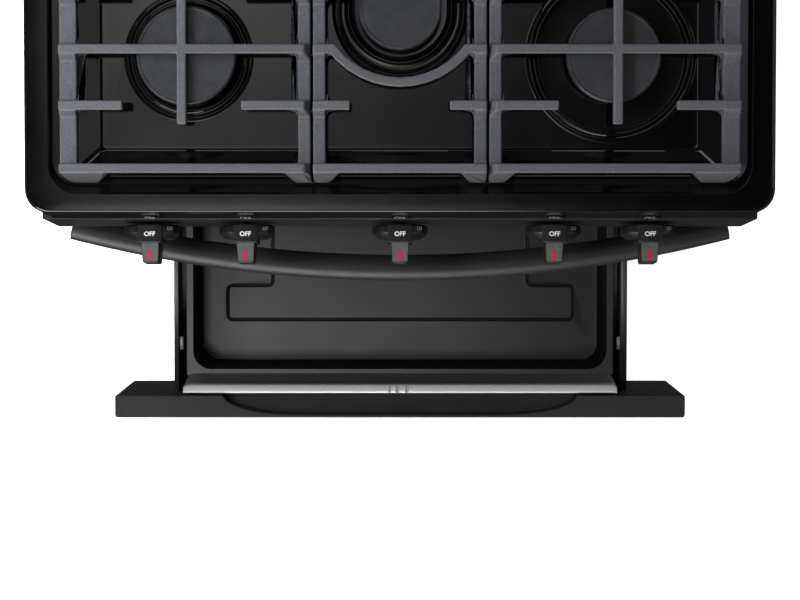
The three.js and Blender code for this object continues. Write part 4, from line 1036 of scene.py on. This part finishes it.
def makeStudio():
    half = studio["floorSize"] / 2
    mesh = bpy.data.meshes.new("floor")
    corners = [(-half, -half, 0), (half, -half, 0), (half, half, 0), (-half, half, 0)]
    mesh.from_pydata(corners, [], [(0, 1, 2, 3)])
    ground = addObject("floor", mesh)
    pale = bpy.data.materials.new("paleFloor")
    pale.use_nodes = True
    shader = pale.node_tree.nodes["Principled BSDF"]
    for key, value in (("Base Color", linearColour(studio["floorHex"])), ("Roughness", 0.9),
                       ("Emission Color", (1, 1, 1, 1)), ("Emission Strength", studio["floorGlow"])):
        shader.inputs[key].default_value = value
    mesh.materials.append(pale)
    ground.visible_glossy = False  # black gloss keeps its depth beside the white floor

    world = bpy.data.worlds.new("studioAir")
    bpy.context.scene.world = world
    world.use_nodes = True
    tree = world.node_tree
    tree.nodes.clear()
    way = addNode(tree, "ShaderNodeTexCoord").outputs["Generated"]
    leans = addNode(tree, "ShaderNodeSeparateXYZ", links={0: way}).outputs
    reach, most = studio["glowReach"], studio["glowMost"]
    levels = []
    for lean, wanted in ((leans[0], studio["glowAcross"]), (leans[1], studio["glowAlong"])):
        ramp = addNode(tree, "ShaderNodeValToRGB", links={0: remap(tree, lean, -reach, reach)})
        stops = ramp.color_ramp.elements
        for spot, _ in wanted[1:-1]:
            stops.new((spot + reach) / (2 * reach))
        for stop, (spot, level) in zip(stops, wanted):
            stop.position = (spot + reach) / (2 * reach)
            stop.color = (level / most, level / most, level / most, 1)  # a ramp holds 0 to 1
        levels.append(ramp.outputs[0])
    both = addNode(tree, "ShaderNodeVectorMath", {"operation": "MULTIPLY"}, {
        0: levels[0], 1: levels[1]}).outputs[0]
    top = addNode(tree, "ShaderNodeVectorMath", {"operation": "SCALE"}, {
        0: both, "Scale": float(most ** 2)}).outputs[0]
    near = remap(tree, leans[2], *studio["glowFade"], smooth=True)
    low = remap(tree, leans[2], *studio["horizonFade"], studio["dome"], studio["horizon"], smooth=True)
    under = remap(tree, leans[2], *studio["belowFade"], smooth=True)
    deep = studio["below"]
    sky = blend(tree, under, (deep, deep, deep, 1), blend(tree, near, low, top))
    back = addNode(tree, "ShaderNodeBackground", links={"Color": sky, "Strength": 1.0})
    addNode(tree, "ShaderNodeOutputWorld", links={"Surface": back.outputs[0]})

    for name, (spot, aim, wide, tall, watts, shiny) in lights.items():
        lamp = bpy.data.lights.new(name, "AREA")
        lamp.shape = "RECTANGLE"
        lamp.size, lamp.size_y, lamp.energy = wide, tall, watts
        thing = addObject(name, lamp)
        thing.location = spot
        thing.visible_camera = False
        thing.visible_glossy = shiny
        thing.rotation_euler = (Vector(aim) - Vector(spot)).to_track_quat("-Z", "Y").to_euler()


makeStudio()

# The camera hangs straight over the cooktop's front. A small part of the framing is lens shift.
cameraSet = {"height": 3.343, "behindDoorFace": 0.060, "lens": 108.567, "sensor": 36, "shift": -0.03,
             "tilt": -2.565, "clip": (0.05, 60)}
lens = bpy.data.cameras.new("camera")
lens.lens, lens.sensor_width, lens.shift_y = cameraSet["lens"], cameraSet["sensor"], cameraSet["shift"]
lens.clip_start, lens.clip_end = cameraSet["clip"]
camera = addObject("camera", lens)
camera.location = (0, doorFace + cameraSet["behindDoorFace"], cameraSet["height"])
camera.rotation_euler = (math.radians(cameraSet["tilt"]), 0, 0)
bpy.context.scene.camera = camera
bpy.context.scene.view_settings.view_transform = "Standard"
print("studio ready")
